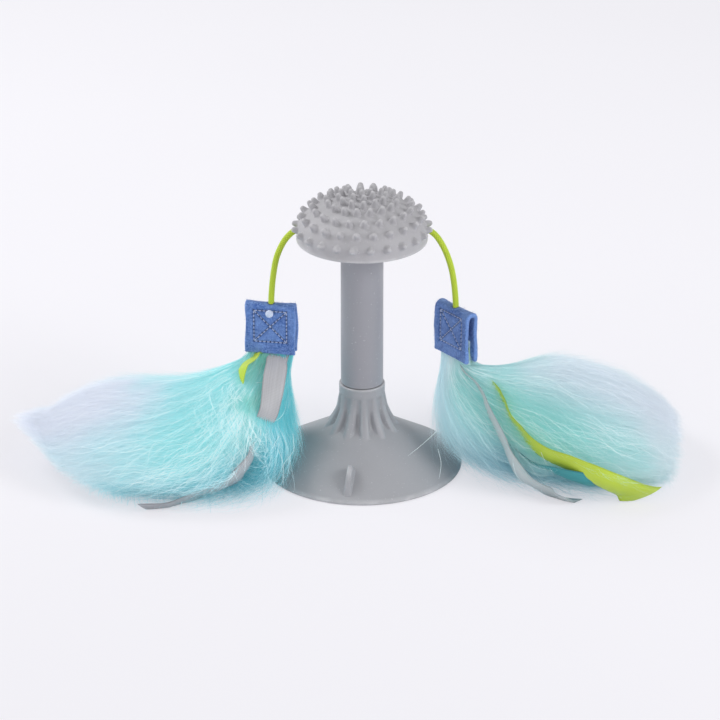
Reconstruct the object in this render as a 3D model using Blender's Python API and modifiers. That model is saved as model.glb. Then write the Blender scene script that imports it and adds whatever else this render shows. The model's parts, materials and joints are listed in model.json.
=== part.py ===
"""Suction cup cat toy: a grey suction cup and stem with a studded mushroom head, and on each side
a short cord that carries a folded felt pad, a dyed fur plume and three ribbons.

Metres, +Z up. The origin is the centre of the cup on the floor. The toy's front faces -Y and the
two tassels lie along -X (left) and +X (right).
"""

import math

import bmesh
import bpy
import numpy as np
from mathutils import Matrix, Vector

# Fits and cuts
FIT_GAP = 0.0003
OVERRUN = 0.002
WELD_DISTANCE = 0.00001

# Suction cup
CUP_RADIUS = 0.050
CUP_HEIGHT = 0.044
CUP_EDGE = 0.0015
CONE_ANGLE_DEG = 30.6
SEAL_WIDTH = 0.004
CAVITY_HEIGHT = 0.013
CAVITY_POWER = 1.6
CAVITY_RING_SHARES = (0.88, 0.74, 0.58, 0.40, 0.20, 0.0)
CONE_RING_SHARES = (0.35, 0.70)
COLLAR_RADIUS = 0.0114
COLLAR_HEIGHT = 0.0050
COLLAR_ROUND = 0.0012
CORE_RADIUS = 0.0110
CORE_FILLET_HEIGHT = 0.0110
CORE_FILLET_REACH = 0.0075
CUP_STEPS = 48

# Buttress ribs round the collar of the cup
RIB_COUNT = 12
RIB_THICKNESS = 0.0032
RIB_FOOT_RADIUS = 0.0190
RIB_TOP_DROP = 0.0040
RIB_EDGE_ROUND = 0.0005
RIB_PHASE_DEG = 5.0
RIB_DRAFT_SHARE = 0.40

# Pinch fin on the cone, by which the cup is peeled off
FIN_AZIMUTH_DEG = 261.0
FIN_THICKNESS = 0.0033
FIN_OUTER_RADIUS = 0.0470
FIN_LENGTH = 0.0140
FIN_RISE = 0.0068
FIN_EDGE_ROUND = 0.0006
FIN_RISE_SHARES = ((1.00, 0.0), (0.90, 0.45), (0.74, 0.85), (0.58, 1.0), (0.38, 1.0), (0.16, 0.62), (0.0, 0.0))

# Stem
STEM_RADIUS = 0.0105
STEM_LENGTH = 0.0760
STEM_CHAMFER = 0.0005
SPIGOT_RADIUS = 0.0083
SOCKET_DEPTH = 0.0240
HEAD_SPIGOT_LENGTH = 0.0115
STEM_BORE_RADIUS = 0.0060
STEM_STEPS = 36

# Head
HEAD_RADIUS = 0.0316
HEAD_RISE = 0.0175
HEAD_SKIRT = 0.0040
HEAD_LIP = 0.0004
HEAD_TOP_WALL = 0.0025
HEAD_SIDE_WALL = 0.0037
HEAD_LEDGE = 0.0012
HEAD_STEPS = 48

# Studs on the head: polar angle from the rim, count and turn from the front of each ring
STUD_RINGS_DEG = (
    (7.0, 24, 7.5),
    (27.0, 22, -5.0),
    (43.0, 20, 3.0),
    (58.5, 17, -8.0),
    (70.0, 12, 4.0),
    (80.5, 6, 10.0),
    (90.0, 1, 0.0),
)
STUD_BASE_RADIUS = 0.00185
STUD_TIP_RADIUS = 0.00095
STUD_HEIGHT = 0.0031
STUD_CROWN_EXTRA = 0.0010
STUD_ROUND = 0.0005
STUD_SINK = 0.0008
STUD_SIDES = 6

# Base plate that closes the head and takes the stem
PLATE_THICKNESS = 0.0018
SLEEVE_WALL = 0.0020
SLEEVE_LENGTH = 0.0110

# Cords
CORD_DIAMETER = 0.0030
CORD_HOLE_HEIGHT = 0.0046
KNOT_RADIUS = 0.0024
CORD_POINT_PITCH = 0.0030

# Felt pads: one strip folded over, with a slot between its two flaps
FELT_THICKNESS = 0.0019
PAD_THICKNESS = 0.0070
PAD_WIDTH = 0.0252
PAD_HEIGHT = 0.0260
FOLD_ARC_STEPS = 8
THREAD_KNOT_RADIUS = 0.0016
THREAD_KNOT_DROP = 0.0055
THREAD_KNOT_FLATNESS_SHARE = 0.55

# Plumes and ribbons
PLUME_WIDTH = 0.1040
PLUME_ROOT_WIDTH = 0.0235
PLUME_ROOT_THICKNESS = 0.0007
PLUME_ROOT_LENGTH = 0.0110
PLUME_NECK_LENGTH = 0.0012
PLUME_EGG_SHARE = 0.35
FLOOR_GAP = 0.0006
PLUME_RINGS = 24
PLUME_SIDES = 18
RIBBON_WIDTH = 0.0100
RIBBON_THICKNESS = 0.0004
RIBBON_LIFT = 0.00015
RIBBON_SLACK = 0.0008
RIBBON_LAYER_SLACK = 0.0013
RIBBON_PITCH = 0.0040
RIBBON_HEADING_RINGS = 2
RIBBON_LAYER_COUNTS = {"teal": 0, "green": 1, "grey": 1}

# Where the left tassel hangs, and its plume
LEFT_PAD_X = -0.0446
LEFT_PAD_TOP = 0.0865
LEFT_PAD_YAW_DEG = -10.5
LEFT_PLUME_REACH = 0.1220

# Where the right tassel hangs, and its plume
RIGHT_PAD_X = 0.0462
RIGHT_PAD_TOP = 0.0845
RIGHT_PAD_YAW_DEG = -53.0
RIGHT_PLUME_REACH = 0.1200

# Cord routes, from the stopper knot in the head to the knot in the pad's fold
LEFT_CORD_ROUTE = (
    (-0.0276, 0.0, 0.1246),
    (-0.0300, 0.0, 0.1246),
    (-0.0322, 0.0, 0.1244),
    (-0.0362, 0.0, 0.1213),
    (-0.0396, 0.0, 0.1158),
    (-0.0419, 0.0, 0.1095),
    (-0.0433, 0.0, 0.1018),
    (-0.0441, 0.0, 0.0947),
    (-0.0445, 0.0, 0.0888),
    (-0.0446, 0.0, 0.0843),
)
RIGHT_CORD_ROUTE = (
    (0.0276, 0.0, 0.1246),
    (0.0300, 0.0, 0.1246),
    (0.0322, 0.0, 0.1245),
    (0.0352, 0.0, 0.1226),
    (0.0384, 0.0, 0.1182),
    (0.0413, 0.0, 0.1121),
    (0.0438, 0.0, 0.1040),
    (0.0452, 0.0, 0.0955),
    (0.0459, 0.0, 0.0880),
    (0.0462, 0.0, 0.0823),
)

# Plume stations, from the pad's lower edge to the tip. Each row holds the upper line's way out and
# level, the lower line's way out and level, the sway and the half width. Ways out are shares of the
# reach, levels are shares of the pad's lower edge, and the last two are shares of the width.
LEFT_PLUME_SHARES = (
    (0.095, 0.960, -0.079, 0.905, -0.005, 0.022),
    (0.150, 0.910, -0.081, 0.750, -0.030, 0.075),
    (0.230, 0.860, -0.076, 0.560, -0.070, 0.145),
    (0.335, 0.810, -0.050, 0.360, -0.100, 0.235),
    (0.460, 0.765, 0.030, 0.170, -0.090, 0.340),
    (0.595, 0.700, 0.205, 0.055, -0.035, 0.440),
    (0.730, 0.610, 0.425, 0.022, 0.005, 0.492),
    (0.850, 0.490, 0.640, 0.018, 0.012, 0.440),
    (0.935, 0.360, 0.810, 0.025, 0.008, 0.325),
    (0.982, 0.240, 0.920, 0.050, 0.000, 0.185),
    (1.000, 0.155, 0.980, 0.095, 0.000, 0.050),
)
RIGHT_PLUME_SHARES = (
    (0.090, 0.965, -0.079, 0.905, 0.005, 0.022),
    (0.145, 0.950, -0.070, 0.750, 0.025, 0.075),
    (0.230, 0.940, -0.055, 0.560, 0.050, 0.145),
    (0.340, 0.930, -0.015, 0.360, 0.065, 0.240),
    (0.470, 0.900, 0.080, 0.170, 0.045, 0.350),
    (0.610, 0.840, 0.245, 0.055, 0.022, 0.440),
    (0.745, 0.740, 0.455, 0.022, 0.010, 0.487),
    (0.860, 0.600, 0.660, 0.018, 0.006, 0.435),
    (0.940, 0.430, 0.820, 0.025, 0.003, 0.320),
    (0.985, 0.280, 0.925, 0.050, 0.000, 0.185),
    (1.000, 0.170, 0.980, 0.095, 0.000, 0.050),
)

# Ribbon routes over the plume: shares of the plume's run, each with the degrees round its section.
# There 90 is the upper and outer side, 180 the front, 270 the lower and inner side, 360 the back.
LEFT_GREEN_SHARES = ((0.02, 143), (0.10, 144), (0.14, 150), (0.19, 159), (0.28, 166), (0.40, 171), (0.52, 173))
LEFT_GREY_SHARES = (
    (0.02, 198),
    (0.10, 201),
    (0.15, 205),
    (0.22, 214),
    (0.28, 218),
    (0.36, 223),
    (0.46, 225),
    (0.56, 221),
    (0.68, 214),
)
LEFT_TEAL_SHARES = ((0.02, 346), (0.14, 343), (0.26, 328), (0.36, 328), (0.46, 335), (0.56, 342))
RIGHT_GREEN_SHARES = (
    (0.02, 144),
    (0.10, 150),
    (0.18, 152),
    (0.24, 158),
    (0.32, 172),
    (0.37, 181),
    (0.43, 186),
    (0.50, 187),
    (0.57, 187),
    (0.65, 190),
    (0.73, 200),
    (0.79, 208),
)
RIGHT_GREY_SHARES = (
    (0.02, 205),
    (0.10, 210),
    (0.18, 196),
    (0.24, 191),
    (0.33, 199),
    (0.40, 210),
    (0.50, 219),
    (0.58, 224),
    (0.65, 223),
)
RIGHT_TEAL_SHARES = (
    (0.02, 204),
    (0.10, 205),
    (0.18, 198),
    (0.24, 196),
    (0.32, 203),
    (0.40, 206),
    (0.48, 206),
    (0.55, 203),
    (0.64, 203),
    (0.72, 208),
)

# Places that follow from the sizes above
CONE_SLOPE = math.tan(math.radians(CONE_ANGLE_DEG))
SOCKET_RADIUS = SPIGOT_RADIUS + FIT_GAP
SOCKET_FLOOR = CUP_HEIGHT - SOCKET_DEPTH
HEAD_FLOOR = CUP_HEIGHT + STEM_LENGTH
HEAD_EQUATOR = HEAD_FLOOR + HEAD_SKIRT
HEAD_INNER_RADIUS = HEAD_RADIUS - HEAD_SIDE_WALL
PLATE_RADIUS = HEAD_INNER_RADIUS + HEAD_LEDGE - FIT_GAP
PLATE_TOP = HEAD_FLOOR + PLATE_THICKNESS
CORD_HOLE_Z = HEAD_FLOOR + CORD_HOLE_HEIGHT
CORD_HOLE_RADIUS = CORD_DIAMETER / 2 + FIT_GAP
HEAD_KNOT_X = HEAD_INNER_RADIUS - FIT_GAP - KNOT_RADIUS
POCKET_RADIUS = KNOT_RADIUS + FIT_GAP
KNOT_DEPTH = FELT_THICKNESS + 2 * FIT_GAP + KNOT_RADIUS
SLOT_HALF = PAD_THICKNESS / 2 - FELT_THICKNESS

# Colours of the finishes, linear RGB, with roughness
FINISHES = {
    "cup_silicone": ((0.345, 0.352, 0.376), 0.52),
    "stem_plastic": ((0.310, 0.310, 0.345), 0.42),
    "head_silicone": ((0.402, 0.402, 0.424), 0.55),
    "cord_green": ((0.380, 0.545, 0.030), 0.60),
    "felt_blue": ((0.150, 0.275, 0.600), 0.95),
    "fur_aqua": ((0.300, 0.770, 0.800), 0.90),
    "ribbon_green": ((0.560, 0.690, 0.030), 0.45),
    "ribbon_grey": ((0.400, 0.405, 0.400), 0.45),
    "ribbon_teal": ((0.040, 0.330, 0.370), 0.45),
    "thread_pale": ((0.560, 0.660, 0.860), 0.70),
}


def clear_scene():
    """Empty the scene that the script runs in."""
    for obj in list(bpy.data.objects):
        bpy.data.objects.remove(obj, do_unlink=True)


def new_collection(name, hidden=False):
    """A collection under the scene's own, hidden from renders where it holds cutters."""
    collection = bpy.data.collections.new(name)
    bpy.context.scene.collection.children.link(collection)
    collection.hide_render = hidden
    return collection


def new_finish(name):
    """A Principled material with one colour and one roughness."""
    colour, roughness = FINISHES[name]
    material = bpy.data.materials.new(name)
    material.use_nodes = True
    shader = material.node_tree.nodes["Principled BSDF"]
    shader.inputs["Base Color"].default_value = (*colour, 1.0)
    shader.inputs["Roughness"].default_value = roughness
    return material


clear_scene()
TOY = new_collection("suction_cup_cat_toy")
TOOLS = new_collection("tools", hidden=True)
MATERIALS = {name: new_finish(name) for name in FINISHES}


def add_object(name, data, finish, collection=None):
    """An object in the toy's collection with its finish."""
    obj = bpy.data.objects.new(name, data)
    (collection or TOY).objects.link(obj)
    if finish:
        data.materials.append(MATERIALS[finish])
    return obj


def add_tool(name, data):
    """A helper for a Boolean: seen as wire and left out of renders."""
    obj = add_object(name, data, None, TOOLS)
    obj.hide_render = True
    obj.display_type = "WIRE"
    return obj


def add_axis(name, place, parent=None):
    """An empty on a joint's axis. Pieces that turn about it are its children."""
    empty = bpy.data.objects.new(name, None)
    empty.empty_display_size = STEM_RADIUS
    TOY.objects.link(empty)
    empty.location = Vector(place) - (Vector(parent["place"]) if parent else Vector())
    empty["place"] = tuple(place)
    empty.parent = parent
    return empty


def hang(obj, axis):
    """Put a piece, modelled in place, under the empty on its joint's axis."""
    obj.parent = axis
    obj.matrix_parent_inverse = Matrix.Translation(axis["place"]).inverted()


def mesh_from_bmesh(name, bm):
    """A mesh with outward normals from a bmesh, which is freed."""
    bmesh.ops.recalc_face_normals(bm, faces=bm.faces[:])
    mesh = bpy.data.meshes.new(name)
    bm.to_mesh(mesh)
    bm.free()
    mesh.shade_smooth()
    return mesh


def turned(name, profile, steps, finish, closed=False):
    """A turned piece: the profile of (radius, height) runs down its outer side."""
    mesh = bpy.data.meshes.new(name)
    count = len(profile)
    edges = [(i, i + 1) for i in range(count - 1)]
    if closed:
        edges.append((count - 1, 0))
    mesh.from_pydata([(r, 0.0, z) for r, z in profile], edges, [])
    obj = add_object(name, mesh, finish)
    screw = obj.modifiers.new("turn", "SCREW")
    screw.axis = "Z"
    screw.steps = screw.render_steps = steps
    screw.use_merge_vertices = True
    screw.merge_threshold = WELD_DISTANCE
    screw.use_smooth_shade = True
    return obj


def boolean(obj, tool, operation):
    """Join or cut a piece with a tool, by the exact solver."""
    modifier = obj.modifiers.new(tool.name, "BOOLEAN")
    modifier.operation = operation
    modifier.solver = "EXACT"
    modifier.object = tool


def rod(name, radius, start, end, sides):
    """A cylinder from one point to another, as a tool."""
    start, end = Vector(start), Vector(end)
    bm = bmesh.new()
    turn = (end - start).to_track_quat("Z", "Y").to_matrix().to_4x4()
    bmesh.ops.create_cone(
        bm,
        cap_ends=True,
        segments=sides,
        radius1=radius,
        radius2=radius,
        depth=(end - start).length,
        matrix=Matrix.Translation((start + end) / 2) @ turn,
    )
    return add_tool(name, mesh_from_bmesh(name, bm))


def ball_mesh(name, radius, place, flatten=None, segments=12):
    """A ball, flattened by a matrix where one is given."""
    bm = bmesh.new()
    bmesh.ops.create_uvsphere(bm, u_segments=segments, v_segments=segments // 2 + 1, radius=radius)
    matrix = Matrix.Translation(place) @ (flatten or Matrix())
    bmesh.ops.transform(bm, matrix=matrix, verts=bm.verts[:])
    return mesh_from_bmesh(name, bm)


def extruded_outline(name, outline, thickness, edge_round=0.0):
    """A mesh of a flat outline, given its thickness along local Z, with rounded edges."""
    curve = bpy.data.curves.new(name, "CURVE")
    curve.dimensions = "2D"
    curve.fill_mode = "BOTH"
    curve.extrude = thickness / 2 - edge_round
    curve.bevel_depth = edge_round
    curve.bevel_resolution = 0
    curve.offset = -edge_round
    spline = curve.splines.new("POLY")
    spline.points.add(len(outline) - 1)
    for point, (x, y) in zip(spline.points, outline):
        point.co = (x, y, 0.0, 1.0)
    spline.use_cyclic_u = True
    guide = bpy.data.objects.new(name, curve)
    TOOLS.objects.link(guide)
    bpy.context.view_layer.update()
    evaluated = guide.evaluated_get(bpy.context.evaluated_depsgraph_get())
    mesh = bpy.data.meshes.new_from_object(evaluated)
    bpy.data.objects.remove(guide)
    bm = bmesh.new()
    bm.from_mesh(mesh)
    bmesh.ops.remove_doubles(bm, verts=bm.verts[:], dist=WELD_DISTANCE)
    bpy.data.meshes.remove(mesh)
    return mesh_from_bmesh(name, bm)


def monotone_cubic(knots, values, at):
    """Smooth values through the knots that never overshoot them (harmonic mean of the slopes)."""
    knots, values, at = (np.asarray(v, float) for v in (knots, values, at))
    values = values.reshape(len(knots), -1)
    width = np.diff(knots)[:, None]
    slope = np.diff(values, axis=0) / width
    inner = np.zeros_like(slope[1:])
    same = slope[:-1] * slope[1:] > 0
    inner[same] = 2 * slope[:-1][same] * slope[1:][same] / (slope[:-1][same] + slope[1:][same])
    tangent = np.vstack([slope[:1], inner, slope[-1:]])
    index = np.clip(np.searchsorted(knots, at, side="right") - 1, 0, len(knots) - 2)
    h = width[index]
    t = ((at - knots[index])[:, None]) / h
    return (
        values[index] * (1 + 2 * t) * (1 - t) ** 2
        + tangent[index] * h * t * (1 - t) ** 2
        + values[index + 1] * t**2 * (3 - 2 * t)
        + tangent[index + 1] * h * t**2 * (t - 1)
    )


def run_lengths(points):
    """The length along a run of points up to each of them."""
    steps = np.linalg.norm(np.diff(points, axis=0), axis=1)
    return np.concatenate([[0.0], np.cumsum(steps)])


def cone_height(radius):
    """Height of the cup's cone over a radius."""
    return CUP_EDGE + (CUP_RADIUS - radius) * CONE_SLOPE


def cup_profile():
    """The cup's half section: socket, collar, core fillet, cone, sealing ring and cavity."""
    top = CUP_HEIGHT
    points = [(0.0, SOCKET_FLOOR), (SOCKET_RADIUS, SOCKET_FLOOR), (SOCKET_RADIUS, top)]
    for step in range(4):
        angle = math.radians(90 * (1 - step / 3))
        points.append(
            (
                COLLAR_RADIUS - COLLAR_ROUND * (1 - math.cos(angle)),
                top - COLLAR_ROUND * (1 - math.sin(angle)),
            )
        )
    points.append((COLLAR_RADIUS, top - COLLAR_HEIGHT))
    end = math.atan2(CORE_FILLET_HEIGHT, CONE_SLOPE * CORE_FILLET_REACH)
    foot = CORE_RADIUS + CORE_FILLET_REACH * (1 - math.cos(end))
    base = cone_height(foot) - CORE_FILLET_HEIGHT * (1 - math.sin(end))
    for step in range(7):
        angle = end * step / 6
        points.append(
            (
                CORE_RADIUS + CORE_FILLET_REACH * (1 - math.cos(angle)),
                base + CORE_FILLET_HEIGHT * (1 - math.sin(angle)),
            )
        )
    for share in CONE_RING_SHARES:
        radius = foot + (CUP_RADIUS - foot) * share
        points.append((radius, cone_height(radius)))
    inner = CUP_RADIUS - SEAL_WIDTH
    points += [(CUP_RADIUS, CUP_EDGE), (CUP_RADIUS, 0.0), (inner, 0.0)]
    for share in CAVITY_RING_SHARES:
        points.append((inner * share, CAVITY_HEIGHT * (1 - share**CAVITY_POWER)))
    return points


def rib_mesh():
    """One buttress rib in the XZ plane: a curved outer edge, thicker towards its foot."""
    top = CUP_HEIGHT - RIB_TOP_DROP
    foot = cone_height(RIB_FOOT_RADIUS) - RIB_EDGE_ROUND
    buried = (SOCKET_RADIUS + COLLAR_RADIUS) / 2
    outline = [(buried, top)]
    for step in range(9):
        share = step / 8
        reach = RIB_FOOT_RADIUS - COLLAR_RADIUS
        outline.append((COLLAR_RADIUS + reach * share**2, top - (top - foot) * share))
    outline.append((RIB_FOOT_RADIUS, foot - RIB_THICKNESS / 2))
    outline.append((buried, foot - RIB_THICKNESS / 2))
    mesh = extruded_outline("rib", outline, RIB_THICKNESS, RIB_EDGE_ROUND)
    bm = bmesh.new()
    bm.from_mesh(mesh)
    for vert in bm.verts:
        vert.co.z *= 1 + RIB_DRAFT_SHARE * (top - vert.co.y) / (top - foot)
    bmesh.ops.rotate(bm, cent=(0, 0, 0), matrix=Matrix.Rotation(math.pi / 2, 3, "X"), verts=bm.verts[:])
    bpy.data.meshes.remove(mesh)
    return mesh_from_bmesh("rib", bm)


def ring_of(name, mesh, turns):
    """Copies of a mesh in one tool, each turned about Z by an angle."""
    bm = bmesh.new()
    for turn in turns:
        start = len(bm.verts)
        bm.from_mesh(mesh)
        bm.verts.ensure_lookup_table()
        bmesh.ops.transform(bm, matrix=Matrix.Rotation(turn, 4, "Z"), verts=bm.verts[start:])
    return add_tool(name, mesh_from_bmesh(name, bm))


def fin_tool():
    """The pinch fin: a low rounded tab that stands on the cone along one radius."""
    inner = FIN_OUTER_RADIUS - FIN_LENGTH
    outline = []
    for along, rise in FIN_RISE_SHARES:
        radius = inner + FIN_LENGTH * along
        outline.append((radius, cone_height(radius) + FIN_RISE * rise))
    sunk = 3 * FIN_EDGE_ROUND
    outline.append((inner, cone_height(inner) - sunk))
    outline.append((FIN_OUTER_RADIUS, cone_height(FIN_OUTER_RADIUS) - sunk))
    mesh = extruded_outline("fin", outline, FIN_THICKNESS, FIN_EDGE_ROUND)
    bm = bmesh.new()
    bm.from_mesh(mesh)
    bmesh.ops.rotate(bm, cent=(0, 0, 0), matrix=Matrix.Rotation(math.pi / 2, 3, "X"), verts=bm.verts[:])
    upright = mesh_from_bmesh("fin_upright", bm)
    bpy.data.meshes.remove(mesh)
    return ring_of("pinch_fin", upright, [math.radians(FIN_AZIMUTH_DEG)])


def make_suction_cup():
    """The soft cup with its collar, ribs and pinch fin."""
    cup = turned("suction_cup", cup_profile(), CUP_STEPS, "cup_silicone")
    turns = [math.radians(-90 + RIB_PHASE_DEG + 360 * i / RIB_COUNT) for i in range(RIB_COUNT)]
    boolean(cup, ring_of("cup_ribs", rib_mesh(), turns), "UNION")
    boolean(cup, fin_tool(), "UNION")
    return cup


def make_stem():
    """The hollow stem, with a spigot at each end."""
    low = SOCKET_FLOOR + FIT_GAP
    shoulder_low = CUP_HEIGHT + FIT_GAP
    shoulder_high = HEAD_FLOOR - FIT_GAP
    high = HEAD_FLOOR + HEAD_SPIGOT_LENGTH
    profile = [
        (STEM_BORE_RADIUS, low),
        (STEM_BORE_RADIUS, high),
        (SPIGOT_RADIUS - STEM_CHAMFER, high),
        (SPIGOT_RADIUS, high - STEM_CHAMFER),
        (SPIGOT_RADIUS, shoulder_high),
        (STEM_RADIUS - STEM_CHAMFER, shoulder_high),
        (STEM_RADIUS, shoulder_high - STEM_CHAMFER),
        (STEM_RADIUS, shoulder_low + STEM_CHAMFER),
        (STEM_RADIUS - STEM_CHAMFER, shoulder_low),
        (SPIGOT_RADIUS, shoulder_low),
        (SPIGOT_RADIUS, low + STEM_CHAMFER),
        (SPIGOT_RADIUS - STEM_CHAMFER, low),
    ]
    return turned("stem", profile, STEM_STEPS, "stem_plastic", closed=True)


def dome_point(polar):
    """Radius and height on the head's outer surface at an angle up from its equator."""
    return HEAD_RADIUS * math.cos(polar), HEAD_EQUATOR + HEAD_RISE * math.sin(polar)


def dome_profile():
    """The head's half section: outer dome, skirt with its lip, ledge for the plate, inner dome."""
    points = []
    for step in range(10):
        points.append(dome_point(math.radians(90 * (1 - step / 9))))
    points[0] = (0.0, points[0][1])
    lip = HEAD_RADIUS + HEAD_LIP
    seat = HEAD_INNER_RADIUS + HEAD_LEDGE
    points += [
        (lip, HEAD_FLOOR + 3 * HEAD_LIP),
        (lip, HEAD_FLOOR + HEAD_LIP),
        (lip - HEAD_LIP, HEAD_FLOOR),
        (seat, HEAD_FLOOR),
        (seat, PLATE_TOP + FIT_GAP),
        (HEAD_INNER_RADIUS, PLATE_TOP + FIT_GAP),
    ]
    inner_base = HEAD_EQUATOR + HEAD_TOP_WALL
    inner_rise = HEAD_RISE - 2 * HEAD_TOP_WALL
    for step in range(6):
        angle = math.radians(90 * step / 5)
        points.append((HEAD_INNER_RADIUS * math.cos(angle), inner_base + inner_rise * math.sin(angle)))
    points[-1] = (0.0, points[-1][1])
    return points


def stud_mesh(height):
    """One stud: a short cone with a rounded tip, standing on the origin."""
    bm = bmesh.new()
    bmesh.ops.create_cone(
        bm,
        cap_ends=True,
        segments=STUD_SIDES,
        radius1=STUD_BASE_RADIUS,
        radius2=STUD_TIP_RADIUS,
        depth=height + STUD_SINK,
        matrix=Matrix.Translation((0, 0, (height - STUD_SINK) / 2)),
    )
    rim = [edge for edge in bm.edges if min(v.co.z for v in edge.verts) > height / 2]
    bmesh.ops.bevel(bm, geom=rim, offset=STUD_ROUND, segments=1, affect="EDGES", profile=0.5)
    return mesh_from_bmesh("stud", bm)


def studs_tool():
    """All studs of the head, each square to the dome."""
    bm = bmesh.new()
    for polar_deg, count, turn_deg in STUD_RINGS_DEG:
        polar = math.radians(polar_deg)
        radius, height = dome_point(polar)
        slant = math.atan2(math.sin(polar) / HEAD_RISE, math.cos(polar) / HEAD_RADIUS)
        crown = STUD_CROWN_EXTRA * math.sin(polar) ** 2
        stud = stud_mesh(STUD_HEIGHT + crown)
        stand = Matrix.Translation((radius, 0, height)) @ Matrix.Rotation(math.pi / 2 - slant, 4, "Y")
        for i in range(count):
            turn = math.radians(-90 + turn_deg + 360 * i / count)
            start = len(bm.verts)
            bm.from_mesh(stud)
            bm.verts.ensure_lookup_table()
            place = Matrix.Rotation(turn, 4, "Z") @ stand
            bmesh.ops.transform(bm, matrix=place, verts=bm.verts[start:])
        bpy.data.meshes.remove(stud)
    return add_tool("head_studs", mesh_from_bmesh("head_studs", bm))


def make_head(axis):
    """The studded dome, with a hole on each side for a cord, and its base plate."""
    dome = turned("head_dome", dome_profile(), HEAD_STEPS, "head_silicone")
    boolean(dome, studs_tool(), "UNION")
    for name, way in (("left_cord_hole", -1), ("right_cord_hole", 1)):
        start = (way * (HEAD_INNER_RADIUS - OVERRUN), 0, CORD_HOLE_Z)
        end = (way * (HEAD_RADIUS + OVERRUN), 0, CORD_HOLE_Z)
        boolean(dome, rod(name, CORD_HOLE_RADIUS, start, end, 16), "DIFFERENCE")
    sleeve = SOCKET_RADIUS + SLEEVE_WALL
    profile = [
        (SOCKET_RADIUS, HEAD_FLOOR),
        (SOCKET_RADIUS, PLATE_TOP + SLEEVE_LENGTH),
        (sleeve, PLATE_TOP + SLEEVE_LENGTH),
        (sleeve, PLATE_TOP),
        (PLATE_RADIUS, PLATE_TOP),
        (PLATE_RADIUS, HEAD_FLOOR),
    ]
    plate = turned("head_base", profile, HEAD_STEPS, "head_silicone", closed=True)
    hang(dome, axis)
    hang(plate, axis)


def make_cord(name, route, axis):
    """A cord along the smooth curve through its route."""
    route = np.array(route)
    knots = run_lengths(route)
    count = int(round(knots[-1] / CORD_POINT_PITCH)) + 1
    points = monotone_cubic(knots, route, np.linspace(0.0, knots[-1], count))
    curve = bpy.data.curves.new(name, "CURVE")
    curve.dimensions = "3D"
    curve.bevel_depth = CORD_DIAMETER / 2
    curve.bevel_resolution = 2
    curve.use_fill_caps = True
    spline = curve.splines.new("POLY")
    spline.points.add(count - 1)
    for point, co in zip(spline.points, points):
        point.co = (*co, 1.0)
    hang(add_object(name, curve, "cord_green"), axis)


def pad_frame(pad_x, yaw_deg):
    """The pad's place: local X along its width, local Y through it, standing on z = 0."""
    return Matrix.Translation((pad_x, 0, 0)) @ Matrix.Rotation(math.radians(yaw_deg), 4, "Z")


def pad_outline():
    """The folded strip's section: two flaps, round at the fold outside and inside."""
    outline = []
    for half, top, way in ((PAD_THICKNESS / 2, PAD_HEIGHT, 1), (SLOT_HALF, PAD_HEIGHT - FELT_THICKNESS, -1)):
        arc = []
        for step in range(FOLD_ARC_STEPS + 1):
            angle = math.pi * step / FOLD_ARC_STEPS
            arc.append((half * math.cos(angle), top - half + half * math.sin(angle)))
        outline += [(half, 0.0), *arc, (-half, 0.0)][::way]
    return outline


def make_felt_pad(name, frame, top, axis):
    """The felt strip folded over the cord's knot, with a punched hole in its fold."""
    mesh = extruded_outline(name, pad_outline(), PAD_WIDTH)
    lower = top - PAD_HEIGHT
    stand = Matrix.Translation((0, 0, lower)) @ Matrix.Rotation(math.pi / 2, 4, "Z")
    mesh.transform(frame @ stand @ Matrix.Rotation(math.pi / 2, 4, "X"))
    pad = add_object(name, mesh, "felt_blue")
    centre = frame @ Vector((0, 0, top - KNOT_DEPTH))
    above = frame @ Vector((0, 0, top + OVERRUN))
    pocket = add_tool(name + "_pocket", ball_mesh(name + "_pocket", POCKET_RADIUS, centre))
    boolean(pad, pocket, "DIFFERENCE")
    boolean(pad, rod(name + "_hole", CORD_HOLE_RADIUS, centre, above, 16), "DIFFERENCE")
    hang(pad, axis)


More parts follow.
